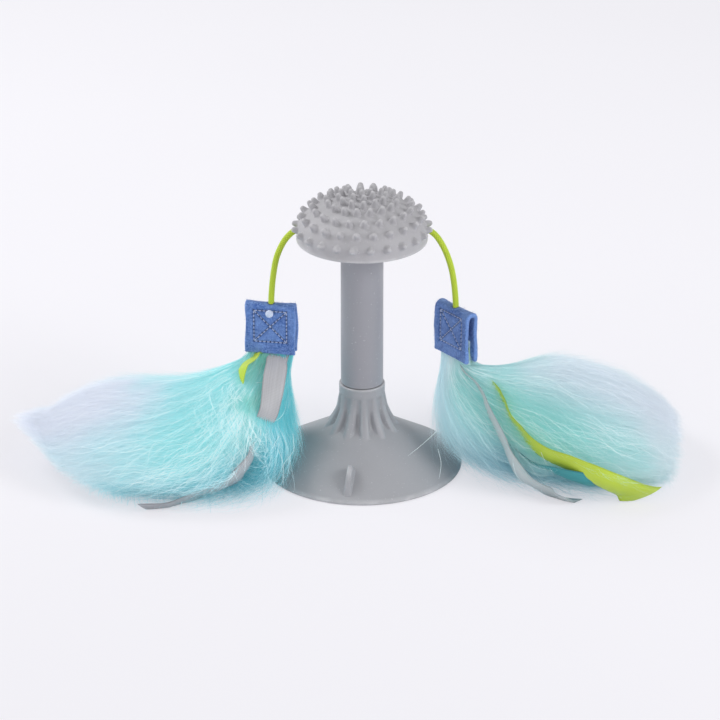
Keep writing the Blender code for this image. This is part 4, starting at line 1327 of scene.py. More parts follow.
    def stitches(self, radius: float = 0.00018, sunk: float = 0.00052, bow: float = 0.00034) -> Patch:
        """Short threads between the needle holes of both flaps, each a bowed and pointed tube."""
        shares = np.linspace(0, 1, 9)
        level = self.thick / 2 - sunk + bow * np.sin(math.pi * shares)
        radii = radius * np.sin(math.pi * (0.08 + 0.84 * shares)) ** 0.5
        patches = []
        for holes, step in self.needle_points():
            for hole in holes[:-1]:
                w, z = (hole[k] + step[k] * (0.12 + 0.76 * shares) for k in (0, 1))
                for way in (-1, 1):
                    patches.append(closed_patch(sweep(stacked(w, way * level, z), radii[:, None], 7)))
        return Patch.joined(patches)

    def fuzz(self, foot: Array, out: Array) -> Patch:
        """Loose fibres that stand off the felt: curved hairs on random places of its surface.

        Args:
            foot: places on the felt.
            out: its outward way at each of them.

        Returns:
            The fibres as thin strips.
        """
        dice = np.random.default_rng(40 + self.side.value)
        pick = dice.integers(0, len(foot), self.fibres)
        foot, out = foot[pick], out[pick]
        lean = unit(out + dice.normal(0, 0.8, foot.shape))
        t = np.linspace(0, 1, 4)[None, :, None]
        length = dice.uniform(0.0004, 0.0013, self.fibres)[:, None, None]
        curl = unit(np.cross(lean, dice.normal(size=foot.shape)))[:, None]
        paths = foot[:, None] + lean[:, None] * t * length + curl * length * 0.5 * t**2
        widths = 0.00007 * (1 - 0.7 * t[..., 0]) * np.ones((self.fibres, 1))
        return strips(paths, widths, np.broadcast_to(curl, paths.shape), {})

    def build(self, felt: bpy.types.Material, thread: bpy.types.Material) -> None:
        """The pad's pieces: felt, stitches and loose fibres."""
        label = self.side.label
        body, frame = f"{label}_tassel", self.frame()
        pad = self.strip().moved(frame).piece(f"{label}_felt_strip", felt)
        sewing = self.stitches().moved(frame).piece(f"{label}_box_stitches", thread)
        places, ways = np.zeros((2, len(pad.data.vertices) * 3))
        pad.data.vertices.foreach_get("co", places)
        pad.data.vertex_normals.foreach_get("vector", ways)
        loose = self.fuzz(places.reshape(-1, 3), ways.reshape(-1, 3)).piece(f"{label}_felt_fibres", felt)
        worn_by(pad, body, f"{label}_felt_pad")
        worn_by(sewing, body)
        worn_by(loose, body)


@dataclass
class ThreadKnot:
    """The round knot of thread that ends the sewing on the left pad's front."""

    pad: FeltPad
    radius: float = 0.0019
    drop: float = 0.0041
    gap: float = 0.0003

    def build(self, material: bpy.types.Material) -> bpy.types.Object:
        """The knot's piece: a flat ball wound with thread.

        Its radius swells and dips with a sine of the turn plus the height, which winds round it.
        """
        polar = np.linspace(-math.pi / 2, math.pi / 2, 34)[:, None]
        turn = around(64)[None, :]
        swell = 0.055 * np.sin(9 * turn + 7 * polar) * np.cos(polar) + 0.03 * np.sin(16 * polar - 3 * turn)
        r = self.radius * (1 + swell)
        x, z = r * np.cos(polar) * np.cos(turn), r * np.cos(polar) * np.sin(turn)
        depth = -self.pad.thick / 2 - self.gap - 0.55 * self.radius
        grid = stacked(x, -0.62 * r * np.sin(polar) + depth, z - self.drop)
        piece = closed_patch(grid).moved(self.pad.frame()).piece("left_thread_button", material)
        return worn_by(piece, "left_tassel", "left_thread_knot")


# ---------------------------------------------------------------- plumes, hair and ribbons


def hair_patch(rings: Array, uv: Array | None, marks: Marks, wrap: bool) -> Patch:
    """Quads along many hairs at once.

    Args:
        rings: hairs x points x the points of a ring x 3.
        uv: UV places for each quad of a hair, or none.
        marks: values for each point of each hair.
        wrap: the ring's last point joins its first.

    Returns:
        One patch of all the hairs.
    """
    count, points, sides = rings.shape[:3]
    first = (np.arange(count)[:, None] * points + np.arange(points - 1)[None, :])[..., None] * sides
    j = np.arange(sides if wrap else sides - 1)
    k = (j + 1) % sides
    quads = stacked(first + j, first + k, first + sides + k, first + sides + j)
    uv = np.zeros((*quads.shape[-2:], 2)) if uv is None else uv
    spread = {name: np.broadcast_to(values, (count, points)).reshape(-1) for name, values in marks.items()}
    kept = {name: np.repeat(values, sides) for name, values in spread.items()}
    uv = np.broadcast_to(uv, (*quads.shape, 2)).reshape(-1, 4, 2)
    return Patch(rings.reshape(-1, 3), quads.reshape(-1, 4), uv, marks=kept)


def strips(paths: Array, widths: Array, facing: Array, marks: Marks) -> Patch:
    """Thin flat hairs: at each point of a path, two points half a width to either side.

    Args:
        paths: hairs x points x 3.
        widths: hairs x points.
        facing: the way each hair's flat side looks, in an array like paths.
        marks: values for each point of each hair.

    Returns:
        One patch of all the hairs.
    """
    side = unit(np.cross(unit(np.gradient(paths, axis=1)), facing)) * (widths / 2)[..., None]
    steps = paths.shape[1] - 1
    v = np.arange(steps)[:, None] / steps
    uv = stacked(np.array([0, 1, 1, 0]), v + np.array([0, 0, 1, 1]) / steps)[:, None]
    return hair_patch(np.stack([paths - side, paths + side], axis=2), uv, marks, wrap=False)


def tubes(paths: Array, widths: Array, marks: Marks) -> Patch:
    """Round hairs: at each point of a path, a triangle of points square to it."""
    ahead = unit(np.gradient(paths, axis=1))
    side = unit(np.cross(ahead, np.array([0.31, 0.52, 0.79])))
    rings = circle(side, np.cross(ahead, side), around(3)) * (widths / 2)[..., None, None]
    return hair_patch(paths[:, :, None] + rings, None, marks, wrap=True)


@dataclass
class PlumeForm:
    """The form of a fur plume: egg-shaped sections between an upper and a lower line.

    A place on it is a share of the run from the pad to the tip, an angle round the section (90 is
    the upper and outer side, 180 the front, 270 the lower and inner side, 360 the back), and a
    depth, 0 on the middle line and 1 on the surface.

    Attributes:
        stations: rows of the upper line's way out and height, the lower line's, the middle's sway
            and the width, in shares of the reach, the pad's lower end and the widest width.
        floor: the least height of the fur.
        broad: how far to the front or back loose ends of hair stand before they are drawn in.
    """

    pad: FeltPad
    reach: float
    stations: tuple
    wide: float = 0.1040
    egg: float = 0.35
    root_width: float = 0.0235
    root_thick: float = 0.0007
    root_length: float = 0.0110
    neck: float = 0.0012
    floor: float = 0.0009
    broad: float = 0.0570

    def __post_init__(self) -> None:
        """Works out the rows of the sections and the run along their middles."""
        self.side = self.pad.side
        low, half = self.pad.top - self.pad.height, self.root_width / 2
        levels = (low + self.root_length, low - self.neck)
        rows = [(half, level, -half, level, 0.0, self.root_thick / 2, 0.0) for level in levels]
        for out_above, above, out_below, below, sway, width in self.stations:
            sizes = (self.reach * out_above, low * above, self.reach * out_below, low * below)
            rows.append((*sizes, self.wide * sway, self.wide * width, 1.0))
        self.rows = np.array(rows)
        self.knots = run_lengths((self.rows[:, 0:2] + self.rows[:, 2:4]) / 2)
        self.length = float(self.knots[-1])
        self.edge = float(self.knots[1] / self.knots[-1])
        self.fade = float(self.knots[6] - self.knots[1])

    def at(self, share: Array, angle: Array, depth: Array | float = 1.0) -> Array:
        """Points of the plume.

        Each section is an ellipse whose width shrinks by the sine of the angle, so it is an egg;
        near the pad the sections turn with the pad.

        Args:
            share: shares of the run; the other arrays have its shape.
            angle: radians round the section.
            depth: 0 on the middle line, 1 on the surface.

        Returns:
            Points, with x, y and z along a last axis.
        """
        share, angle, depth = np.broadcast_arrays(*(np.asarray(a, float) for a in (share, angle, depth)))
        run = np.clip(share, 0, 1).reshape(-1) * self.length
        row = monotone_cubic(self.knots, self.rows, run)
        sine, cosine = (depth * np.sin(angle)).reshape(-1), (depth * np.cos(angle)).reshape(-1)
        ends = ((row[:, k], row[:, k + 2]) for k in (0, 1))
        out, level = ((upper + lower) / 2 + (upper - lower) / 2 * sine for upper, lower in ends)
        across = row[:, 4] + row[:, 5] * cosine * (1 - self.egg * row[:, 6] * sine)
        turn = math.radians(self.pad.yaw_deg) * np.clip(1 - (run - self.knots[1]) / self.fade, 0, 1) ** 1.5
        along = self.side.value * out
        x = self.pad.x + along * np.cos(turn) - across * np.sin(turn)
        y = along * np.sin(turn) + across * np.cos(turn)
        return stacked(x, y, np.maximum(level, self.floor)).reshape(*share.shape, 3)

    def ways(self, share: Array, angle: Array, near: float = 0.002) -> tuple[Array, Array]:
        """How the surface runs on with the share and with the angle, by small differences."""
        run = self.at(share + near, angle) - self.at(share - near, angle)
        turn = self.at(share, angle + near) - self.at(share, angle - near)
        return run / (2 * near), turn / (2 * near)

    def normal(self, share: Array, angle: Array) -> Array:
        """The surface's outward way."""
        run, turn = self.ways(share, angle)
        return unit(np.cross(run, turn) * -self.side.value)

    def beside(self, share: Array, angle: Array, step: Array) -> tuple[Array, Array]:
        """Share and angle at the end of a short way over the surface, by the midpoint rule."""
        move = np.zeros((2, *share.shape))
        for _ in range(2):
            run, turn = self.ways(share + move[0] / 2, angle + move[1] / 2)
            rr, rt, tt = ((a * b).sum(-1) for a, b in ((run, run), (run, turn), (turn, turn)))
            sr, st = (step * run).sum(-1), (step * turn).sum(-1)
            det = np.maximum(rr * tt - rt * rt, 1e-18)
            move = np.stack([(sr * tt - st * rt) / det, (st * rr - sr * rt) / det])
        return share + move[0], angle + move[1]

    def beyond(self, share: Array, angle: Array, depth: Array, lift: float, last: float = 0.90) -> Array:
        """Points that leave the plume in a fan where their share is past the last one.

        Past the last share a hair runs straight on, along the fur there, a little away from the
        plume's middle and, by the lift, upwards. Hairs that stand far to the front or back are
        drawn in by more than half of what goes past the broadest place.
        """
        inside = self.at(np.minimum(share, last), angle, depth)
        back = self.at(np.minimum(share, last) - 0.03, angle, depth)
        middle = self.at(np.full(share.shape, 0.70), angle, 0.0 * depth)
        ahead = unit(unit(inside - back) + 0.35 * unit(inside - middle) + np.array([0, 0, lift]))
        past = np.maximum(share - last, 0) * self.length
        points = inside + ahead * past[..., None]
        points[..., 2] = np.maximum(points[..., 2], self.floor)
        aside = np.abs(points[..., 1])
        drawn = np.minimum(aside, self.broad) + 0.4 * np.maximum(aside - self.broad, 0)
        points[..., 1] = np.sign(points[..., 1]) * drawn
        return points


@dataclass(frozen=True)
class Coat:
    """One coat of hair on a plume.

    Attributes:
        hairs: how many hairs, gathered in how many locks.
        start: the shares of the run between which the locks start.
        length: the least and the most of the run that a hair covers.
        depth: the least and the most depth of the tips.
        rise: how much deeper the roots are.
        width: metres across a hair near its root.
        spread: how far a lock's hairs stray from its middle, in radians on a neck of unit size.
        ragged: how far single tips stray in depth.
        curl: how far a hair waves, in radians.
        sector_deg: the part of the round that carries the coat.
    """

    name: str
    hairs: int
    locks: int
    start: tuple[float, float]
    length: tuple[float, float]
    depth: tuple[float, float]
    rise: float
    width: float
    spread: float
    ragged: float = 0.02
    points: int = 5
    curl: float = 0.0
    sector_deg: tuple[float, float] = (0.0, 360.0)


@dataclass
class Plume:
    """A dyed fur plume: a soft core and coats of hair that flow from the pad to the tip.

    Attributes:
        partings: where a ribbon lies on the fur: its route, the first and last share, half the
            parting's degrees and the depth under it.
        ends: the shares at which the fur ends on its lower and upper side.
        lift: how much loose ends turn up.
        fullness: shares with what the lower and the upper side swell by there.
        loose_hairs: places along single hairs, each in a plane at its own y.
    """

    form: PlumeForm
    coats: tuple[Coat, ...]
    partings: tuple
    ends: tuple[float, float]
    lift: float
    fullness: tuple
    loose_hairs: tuple
    seed: int

    def trimmed(self, share: Array, angle: Array, luck: Array, thin: float = 0.14) -> Array:
        """Shares drawn in where the fur ends: sooner on one side than the other, and ragged.

        Near its end a hair's share draws up to its own last one by 1 less a falling exponential.
        """
        first = lerp(*self.ends, 0.5 + 0.5 * np.sin(angle[:, -1:])) - thin
        room = thin * (0.15 + 0.85 * luck)
        return np.where(share > first, first + room * (1 - np.exp(-(share - first) / room)), share)

    def filled(self, share: Array, angle: Array, depth: Array) -> Array:
        """Depths swelled or drawn in, on the lower and on the upper side, as the run goes on.

        The factor leaves 1 by the square of the angle's sine, so front and back stay as they are.
        """
        knots, lower, upper = np.array(self.fullness, float).T
        sine = np.sin(angle)
        factor = np.where(sine < 0, np.interp(share, knots, lower), np.interp(share, knots, upper))
        return depth * lerp(1.0, factor, sine**2)

    def core(self, depth: float = 0.76, last: float = 0.84, columns: int = 120) -> Patch:
        """The matted core under the hair: the form drawn in, thin towards its last share, with soft lumps."""
        share = np.concatenate([[0.0, 0.04], np.linspace(self.form.edge, last, 90)])
        s, a = np.meshgrid(share, around(columns), indexing="ij")
        drawn = depth - 0.70 * smooth(s, 0.46, last) + 0.20 * (1 - smooth(s, 0.05, 0.25))
        points = self.form.at(s, a, drawn)
        lumps = wobble(points, 45, self.seed) * 0.0016 + wobble(points, 150, self.seed + 1) * 0.0006
        points = points + self.form.normal(s, a) * (lumps * smooth(s, 0.10, 0.3))[..., None]
        points[..., 2] = np.maximum(points[..., 2], 0.0010)
        marks = {"flow": s, "rim": 0.5 + 0.5 * np.sin(a), "luck": 0 * s + 0.3, "along": 0 * s}
        return closed_patch(points, marks)

    def parted(self, share: Array, angle: Array, depth: Array) -> Array:
        """Depths kept under the surface where a ribbon lies on the fur."""
        for route, first, last, half_deg, deep in self.partings:
            knots, route_deg = np.array(route, float).T
            off = np.abs((angle - np.interp(share, knots, np.radians(route_deg)) + math.pi) % TURN - math.pi)
            near = 1 - smooth(off, math.radians(half_deg), math.radians(half_deg * 1.7))
            near = near * smooth(share, first - 0.02, first) * (1 - smooth(share, last, last + 0.03))
            depth = np.where(near > 0, np.minimum(depth, lerp(depth, deep, near)), depth)
        return depth

    def coat(self, coat: Coat, seed: int) -> Patch:
        """One coat: each hair runs on with its lock, rises to its own depth and thins out to a point.

        A hair's share grows evenly along it; its angle drifts towards its lock's, so that locks
        close towards their tips; its depth goes from the root's to the tip's.
        """
        dice = np.random.default_rng(seed)
        lock = dice.integers(0, coat.locks, coat.hairs)
        low, high = np.radians(coat.sector_deg)
        lock_share = dice.uniform(*coat.start, coat.locks)
        lock_angle = dice.uniform(low, high, coat.locks)
        lock_bend = dice.normal(0, 0.10, coat.locks)
        share = lock_share[lock] + dice.normal(0, 0.04, coat.hairs)
        aside = dice.normal(0, 1.0, coat.hairs) * coat.spread
        length = dice.uniform(*coat.length, coat.hairs)
        t = np.linspace(0, 1, coat.points)[None, :]
        s = np.clip(share, 0.0, 1)[:, None] + length[:, None] * t
        squeeze = 1 / (0.35 + 3.2 * np.sqrt(np.clip(s, 0, 1)))
        angle = lock_angle[lock][:, None] + lock_bend[lock][:, None] * t
        angle = angle + (aside[:, None] * (1 - 0.45 * t)) * squeeze * 1.8
        phase, waves = dice.uniform(0, TURN, (2, coat.hairs, 1))
        angle = angle + coat.curl * np.sin(phase + t * (4 + waves)) * t
        top = (dice.uniform(*coat.depth, coat.hairs) + dice.normal(0, coat.ragged, coat.hairs))[:, None]
        depth = lerp(top - coat.rise, top, smooth(t, 0.0, 0.9))
        depth = depth + 0.6 * coat.curl * np.cos(phase + t * (3 + waves)) * t
        depth = lerp(np.minimum(depth, 1.0), depth, smooth(s, 0.08, 0.30))
        s = self.trimmed(s, angle, dice.uniform(0, 1, (coat.hairs, 1)))
        depth = self.parted(s, angle, self.filled(s, angle, depth))
        paths = self.form.beyond(s, angle, depth, self.lift)
        facing = self.form.normal(np.clip(s, 0.004, 0.99), angle)
        tilt = dice.normal(0, 0.35, (coat.hairs, 1, 1))
        facing = facing + unit(np.cross(facing, np.gradient(paths, axis=1) + 1e-9)) * tilt
        widths = coat.width * dice.uniform(0.6, 1.3, (coat.hairs, 1)) * (1 - 0.88 * t**1.4)
        luck = dice.uniform(0, 1, (coat.hairs, 1))
        marks = {"flow": s, "rim": 0.5 + 0.5 * np.sin(angle), "luck": luck, "along": t}
        return strips(paths, widths, facing, marks)

    def loose(self, width: float = 0.00022, points: int = 24) -> Patch:
        """Single hairs that have left the coat, through their own places."""
        t = np.linspace(0, 1, points)
        paths = []
        for y, places in self.loose_hairs:
            route = np.array([(x, y, z) for x, z in places])
            knots = run_lengths(route)
            paths.append(monotone_cubic(knots, route, knots[-1] * t))
        widths = np.broadcast_to(width * (1 - 0.7 * t**3), (len(paths), points))
        marks = dict.fromkeys(("flow", "rim", "luck", "along"), np.array(0.5))
        return tubes(np.array(paths), widths, marks)

    def build(self, fur: bpy.types.Material, matted: bpy.types.Material, guard: bpy.types.Material) -> None:
        """The plume's pieces: its core, one piece for each coat of hair, and loose hairs."""
        label = self.form.side.label
        body = f"{label}_tassel"
        worn_by(self.core().piece(f"{label}_plume_core", matted), body, f"{label}_plume")
        worn_by(self.loose().piece(f"{label}_loose_hairs", guard), body)
        for i, coat in enumerate(self.coats):
            patch, finish = self.coat(coat, self.seed + 10 * i), guard if "guard" in coat.name else fur
            worn_by(patch.piece(f"{label}_{coat.name}", finish), body)
            LOG.info("%s %s: %d quads", label, coat.name, len(patch.quads))


@dataclass
class Ribbon:
    """A woven ribbon that leaves the pad's slot and lies along the plume.

    Attributes:
        route: shares of the plume's run and degrees round it.
        lie: shares, then how far it sinks under or rises over its place in millimetres, then how
            far it rolls out of the fur's surface in degrees.
        layer: how many ribbons lie under it in the slot.
        lift: what it stands off the fur, as slack is for its loose part and layer_slack per layer.
        cut_deg: the slant of its cut end.
    """

    form: PlumeForm
    tone: Tone
    route: tuple
    lie: tuple
    layer: int
    width: float = 0.0100
    thick: float = 0.0004
    lift: float = 0.00015
    slack: float = 0.0008
    layer_slack: float = 0.0013
    cut_deg: float = 35.0
    wave: float = 0.0004
    curl: float = 0.0007
    floor: float = 0.0007
    rows: int = 150
    across: int = 14

    def surface(self) -> tuple[Array, Array, Array]:
        """Its middle line, its grid of places and the fur's normals there.

        Each row runs from edge to edge over the fur by the cosine of the roll, and rises across
        its width by the sine.
        """
        form, route, lie = self.form, np.array(self.route, float), np.array(self.lie, float)
        share = np.linspace(route[0, 0], route[-1, 0], self.rows)
        angle = np.radians(monotone_cubic(route[:, 0], route[:, 1], share)[:, 0])
        slack = self.slack + self.layer * self.layer_slack
        level = self.lift + self.thick / 2 + self.layer * (self.lift + self.thick)
        sunk, roll_deg = monotone_cubic(lie[:, 0], lie[:, 1:], share).T
        roll = np.radians(roll_deg)[:, None]
        lifts = level + slack * np.clip((share - form.edge) / form.edge, 0, 1) + 0.001 * sunk
        normal = form.normal(share, angle)
        middle = form.at(share, angle) + normal * lifts[:, None]
        side = unit(np.cross(normal, np.gradient(middle, axis=0)))
        u = np.linspace(-1, 1, self.across)[None, :]
        slant = math.tan(math.radians(self.cut_deg)) * self.width / 2 / form.length
        last = share[-1]
        trim = smooth(share, last - 4 * abs(slant), last)[:, None]
        places = share[:, None] - trim * (abs(slant) + slant * u)
        turns = np.broadcast_to(angle[:, None], places.shape)
        over = self.width / 2 * u
        where = form.beside(places, turns, side[:, None] * (over * np.cos(roll))[..., None])
        wave = self.wave * np.sin(share * 46 + 2 * self.layer)[:, None] * smooth(share, 0.12, 0.2)[:, None]
        curl = self.curl * smooth(share, last - 0.12, last)[:, None] * u**2
        normals = form.normal(*where)
        heights = lifts[:, None] + wave * u + curl + over * np.sin(roll)
        surface = form.at(*where) + normals * heights[..., None]
        surface[..., 2] = np.maximum(surface[..., 2], self.floor)
        return middle, surface, normals

    def build(self, material: bpy.types.Material) -> None:
        """The ribbon's piece: a thin band that follows the fur, waves a little and is cut askew."""
        middle, surface, normals = self.surface()
        out = unit(np.cross(np.gradient(surface, axis=0), np.gradient(surface, axis=1)))
        out = out * np.sign((out * normals).sum(-1).mean() or 1.0)
        thin = np.sqrt(np.clip(1 - 0.9 * np.linspace(-1, 1, self.across) ** 8, 0.1, 1))
        half = (self.thick * 0.35) * thin[None, :, None]
        patch = closed_patch(np.concatenate([surface + out * half, (surface - out * half)[:, ::-1]], axis=1))
        columns = 2 * self.across
        shown = patch.quad_uv[..., 0] * columns
        shown = np.where(shown <= self.across, shown, columns - shown)
        patch.quad_uv[..., 0] = np.clip(shown / (self.across - 1), 0, 1)
        label, tone = self.form.side.label, self.tone.value
        piece = patch.piece(f"{label}_{tone}_band", material, sharp_deg=60)
        worn_by(piece, f"{label}_tassel", f"{label}_{tone}_ribbon")


# ---------------------------------------------------------------- studio


@dataclass
class Studio:
    """The floor, the lamps, the sky and the camera.

    Attributes:
        lamps: name, place, aim's height over the middle, size and power of each lamp.
    """

    paper: Colour = colour(244, 243, 248)
    sky_strength: float = 0.49
    camera_place: tuple = (-0.001, -1.3694, 0.6653)
    camera_tilt_deg: float = 66.0
    lens: float = 151.4
    lamps: tuple = (
        ("key_lamp", (1.00, -0.55, 0.65), 0.05, 0.6, 7.4),
        ("back_lamp", (-0.80, 0.35, 0.90), 0.08, 0.5, 7.0),
        ("fill_lamp", (-0.95, -0.80, 0.50), 0.05, 0.7, 2.6),
    )

    def floor(self) -> None:
        """A wide round floor just under the toy: rings of points whose radius grows by an even share."""
        radius = np.concatenate([[0.0001], np.geomspace(0.05, 9.0, 40)])
        profile = stacked(radius, -0.0002)[::-1]
        floor = closed_patch(turned(profile, 96), foot=False).piece(
            "studio_floor", FloorFinish("studio_floor", self.paper).make())

    def sky(self) -> None:
        """Even white light, and the paper's colour where the camera looks past the floor."""
        world = bpy.data.worlds.new("studio_sky")
        bpy.context.scene.world = world
        world.use_nodes = True
        r = Recipe(world.node_tree)
        light = r.node("Background", {"Color": (1.0, 1.0, 1.0), "Strength": self.sky_strength})
        paper = r.node("Background", {"Color": self.paper, "Strength": 1.0})
        both = r.node("MixShader", {0: r.seen(), 1: light.outputs[0], 2: paper.outputs[0]})
        r.node("OutputWorld", {"Surface": both.outputs[0]})

    def lamp(self, name: str, place: tuple, aim: float, size: float, power: float) -> None:
        """A square soft lamp at a place, turned to its aim."""
        light = bpy.data.lights.new(name, "AREA")
        light.size, light.energy = size, power
        lamp = bpy.data.objects.new(name, light)
        lamp.location = place
        lamp.rotation_euler = (Vector((0, 0, aim)) - Vector(place)).to_track_quat("-Z", "Y").to_euler()
        bpy.context.scene.collection.objects.link(lamp)

    def camera(self) -> None:
        """The photograph's view: from the front and above, with a long lens."""
        data = bpy.data.cameras.new("studio_camera")
        data.lens, data.sensor_width = self.lens, 36.0
        data.clip_start, data.clip_end = 0.05, 40.0
        camera = bpy.data.objects.new("studio_camera", data)
        camera.location = self.camera_place
        camera.rotation_euler = (math.radians(self.camera_tilt_deg), 0.0, 0.0)
        bpy.context.scene.collection.objects.link(camera)
        bpy.context.scene.camera = camera

    def build(self) -> None:
        """Everything round the toy."""
        self.camera()
        self.floor()
        self.sky()
        for lamp in self.lamps:
            self.lamp(*lamp)
        bpy.context.scene.view_settings.view_transform = "Standard"


# ---------------------------------------------------------------- the toy


LEFT_STATIONS = (
    (0.095, 0.960, -0.079, 0.905, -0.005, 0.022),
    (0.150, 0.910, -0.081, 0.750, -0.030, 0.075),
    (0.230, 0.860, -0.076, 0.560, -0.070, 0.145),
    (0.335, 0.810, -0.050, 0.360, -0.100, 0.235),
    (0.460, 0.765, 0.030, 0.170, -0.090, 0.340),
    (0.595, 0.700, 0.205, 0.055, -0.035, 0.440),
    (0.730, 0.610, 0.425, 0.022, 0.005, 0.492),
    (0.850, 0.490, 0.640, 0.018, 0.012, 0.440),
    (0.935, 0.360, 0.810, 0.025, 0.008, 0.325),
    (0.982, 0.240, 0.920, 0.050, 0.000, 0.185),
    (1.000, 0.155, 0.980, 0.095, 0.000, 0.050),
)
RIGHT_STATIONS = (
    (0.090, 0.965, -0.079, 0.905, 0.005, 0.022),
    (0.145, 0.950, -0.070, 0.750, 0.025, 0.075),
    (0.230, 0.940, -0.055, 0.560, 0.050, 0.145),
    (0.340, 0.930, -0.015, 0.360, 0.065, 0.240),
    (0.470, 0.900, 0.080, 0.170, 0.045, 0.350),
    (0.610, 0.840, 0.245, 0.055, 0.022, 0.440),
    (0.745, 0.740, 0.455, 0.022, 0.010, 0.487),
    (0.860, 0.600, 0.660, 0.018, 0.006, 0.435),
    (0.940, 0.430, 0.820, 0.025, 0.003, 0.320),
    (0.985, 0.280, 0.925, 0.050, 0.000, 0.185),
    (1.000, 0.170, 0.980, 0.095, 0.000, 0.050),
)

PLUME_ENDS = {Side.LEFT: (0.80, 1.05), Side.RIGHT: (1.00, 0.95)}
PLUME_LIFTS = {Side.LEFT: 0.70, Side.RIGHT: 0.0}
PLUME_FULLNESS = {
    Side.LEFT: ((0.15, 1.0, 1.0), (0.30, 1.35, 1.0), (0.55, 1.45, 0.96), (0.75, 1.15, 1.0),
        (1.0, 0.75, 1.15)),
    Side.RIGHT: (
        (0.08, 1.0, 1.0), (0.18, 1.25, 1.0), (0.32, 1.30, 1.0), (0.50, 1.10, 0.94), (0.75, 1.08, 0.84),
        (1.0, 1.25, 0.84)),
}

RIBBON_ROUTES = {
    (Side.LEFT, Tone.GREEN): (
        (0.02, 136), (0.08, 134), (0.13, 137), (0.18, 147), (0.28, 162), (0.40, 171), (0.52, 173)),
    (Side.LEFT, Tone.GREY): (
        (0.02, 198), (0.10, 201), (0.15, 205), (0.22, 212), (0.27, 212), (0.32, 214), (0.38, 216),
        (0.45, 223),
        (0.52, 223), (0.60, 220), (0.68, 216)),
    (Side.LEFT, Tone.TEAL): ((0.02, 346), (0.14, 343), (0.26, 328), (0.36, 328), (0.46, 335), (0.56, 342)),
    (Side.RIGHT, Tone.GREEN): (
        (0.02, 144), (0.10, 150), (0.18, 152), (0.24, 156), (0.28, 163), (0.33, 175), (0.38, 182),
        (0.43, 186),
        (0.49, 188), (0.56, 189), (0.63, 192), (0.71, 199), (0.78, 207), (0.85, 213)),
    (Side.RIGHT, Tone.GREY): (
        (0.02, 205), (0.07, 198), (0.12, 178), (0.17, 160), (0.22, 166), (0.27, 178), (0.33, 190),
        (0.40, 204),
        (0.46, 213), (0.52, 221), (0.60, 225), (0.67, 223)),
    (Side.RIGHT, Tone.TEAL): (
        (0.02, 204), (0.10, 205), (0.18, 198), (0.24, 196), (0.32, 203), (0.40, 206), (0.48, 206),
        (0.55, 203),
        (0.64, 203), (0.72, 208)),
}

RIBBON_LIES = {
    (Side.LEFT, Tone.GREEN): (
        (0.02, 0, 0), (0.074, 0, 0), (0.10, 0, 46), (0.13, 0, 44), (0.15, -0.6, 50), (0.165, -3, 50),
        (0.19, -7, 30), (0.26, -12, 10), (0.34, -14, 0), (0.52, -15, 0)),
    (Side.LEFT, Tone.GREY): (
        (0.02, 0, 0), (0.075, 0, 0), (0.09, 0.9, 0), (0.13, 1.2, 0), (0.17, 0.2, 0), (0.21, -1.6, 0),
        (0.25, -6, 0), (0.30, -4, -30), (0.34, -0.8, -34), (0.38, 0, -26), (0.41, 0, -8), (0.44, 0.2, 8),
        (0.48, 0.8, 18), (0.52, 2, 18), (0.57, 4.5, 18), (0.62, 6.5, 18), (0.68, 7, 14)),
    (Side.LEFT, Tone.TEAL): ((0.02, 0, 0), (0.15, 0, 0), (0.22, -2, 0), (0.56, -2, 0)),
    (Side.RIGHT, Tone.GREEN): (
        (0.02, -0.3, 0), (0.07, -1, 0), (0.10, -2.2, 0), (0.18, -7, 20), (0.24, -6, 60), (0.28, -4.6, 76),
        (0.33, -3.4, 76), (0.38, -2.4, 68), (0.43, -1.4, 64), (0.49, -0.6, 60), (0.56, 0, 52), (0.63, 0, 38),
        (0.71, 0, 12), (0.78, 1.4, 0), (0.85, 4, -12)),
    (Side.RIGHT, Tone.GREY): (
        (0.02, -0.2, 0), (0.07, -0.8, 0), (0.10, -3, 10), (0.14, -5, 50), (0.17, -4.4, 74), (0.22, -3.2, 74),
        (0.27, -2.6, 66), (0.33, -2.0, 60), (0.40, -1.0, 44), (0.46, 0.2, 24), (0.52, 1, -2),
        (0.58, 2.4, -18),
        (0.64, 4.4, -22), (0.67, 5, -22)),
    (Side.RIGHT, Tone.TEAL): (
        (0.02, 0, 0), (0.10, -1, 0), (0.20, -5, 0), (0.40, -5, 30), (0.50, -3.4, 50), (0.55, -1.2, 44),
        (0.60, -0.2, 30), (0.66, -0.4, 16), (0.72, -1.2, 10)),
}

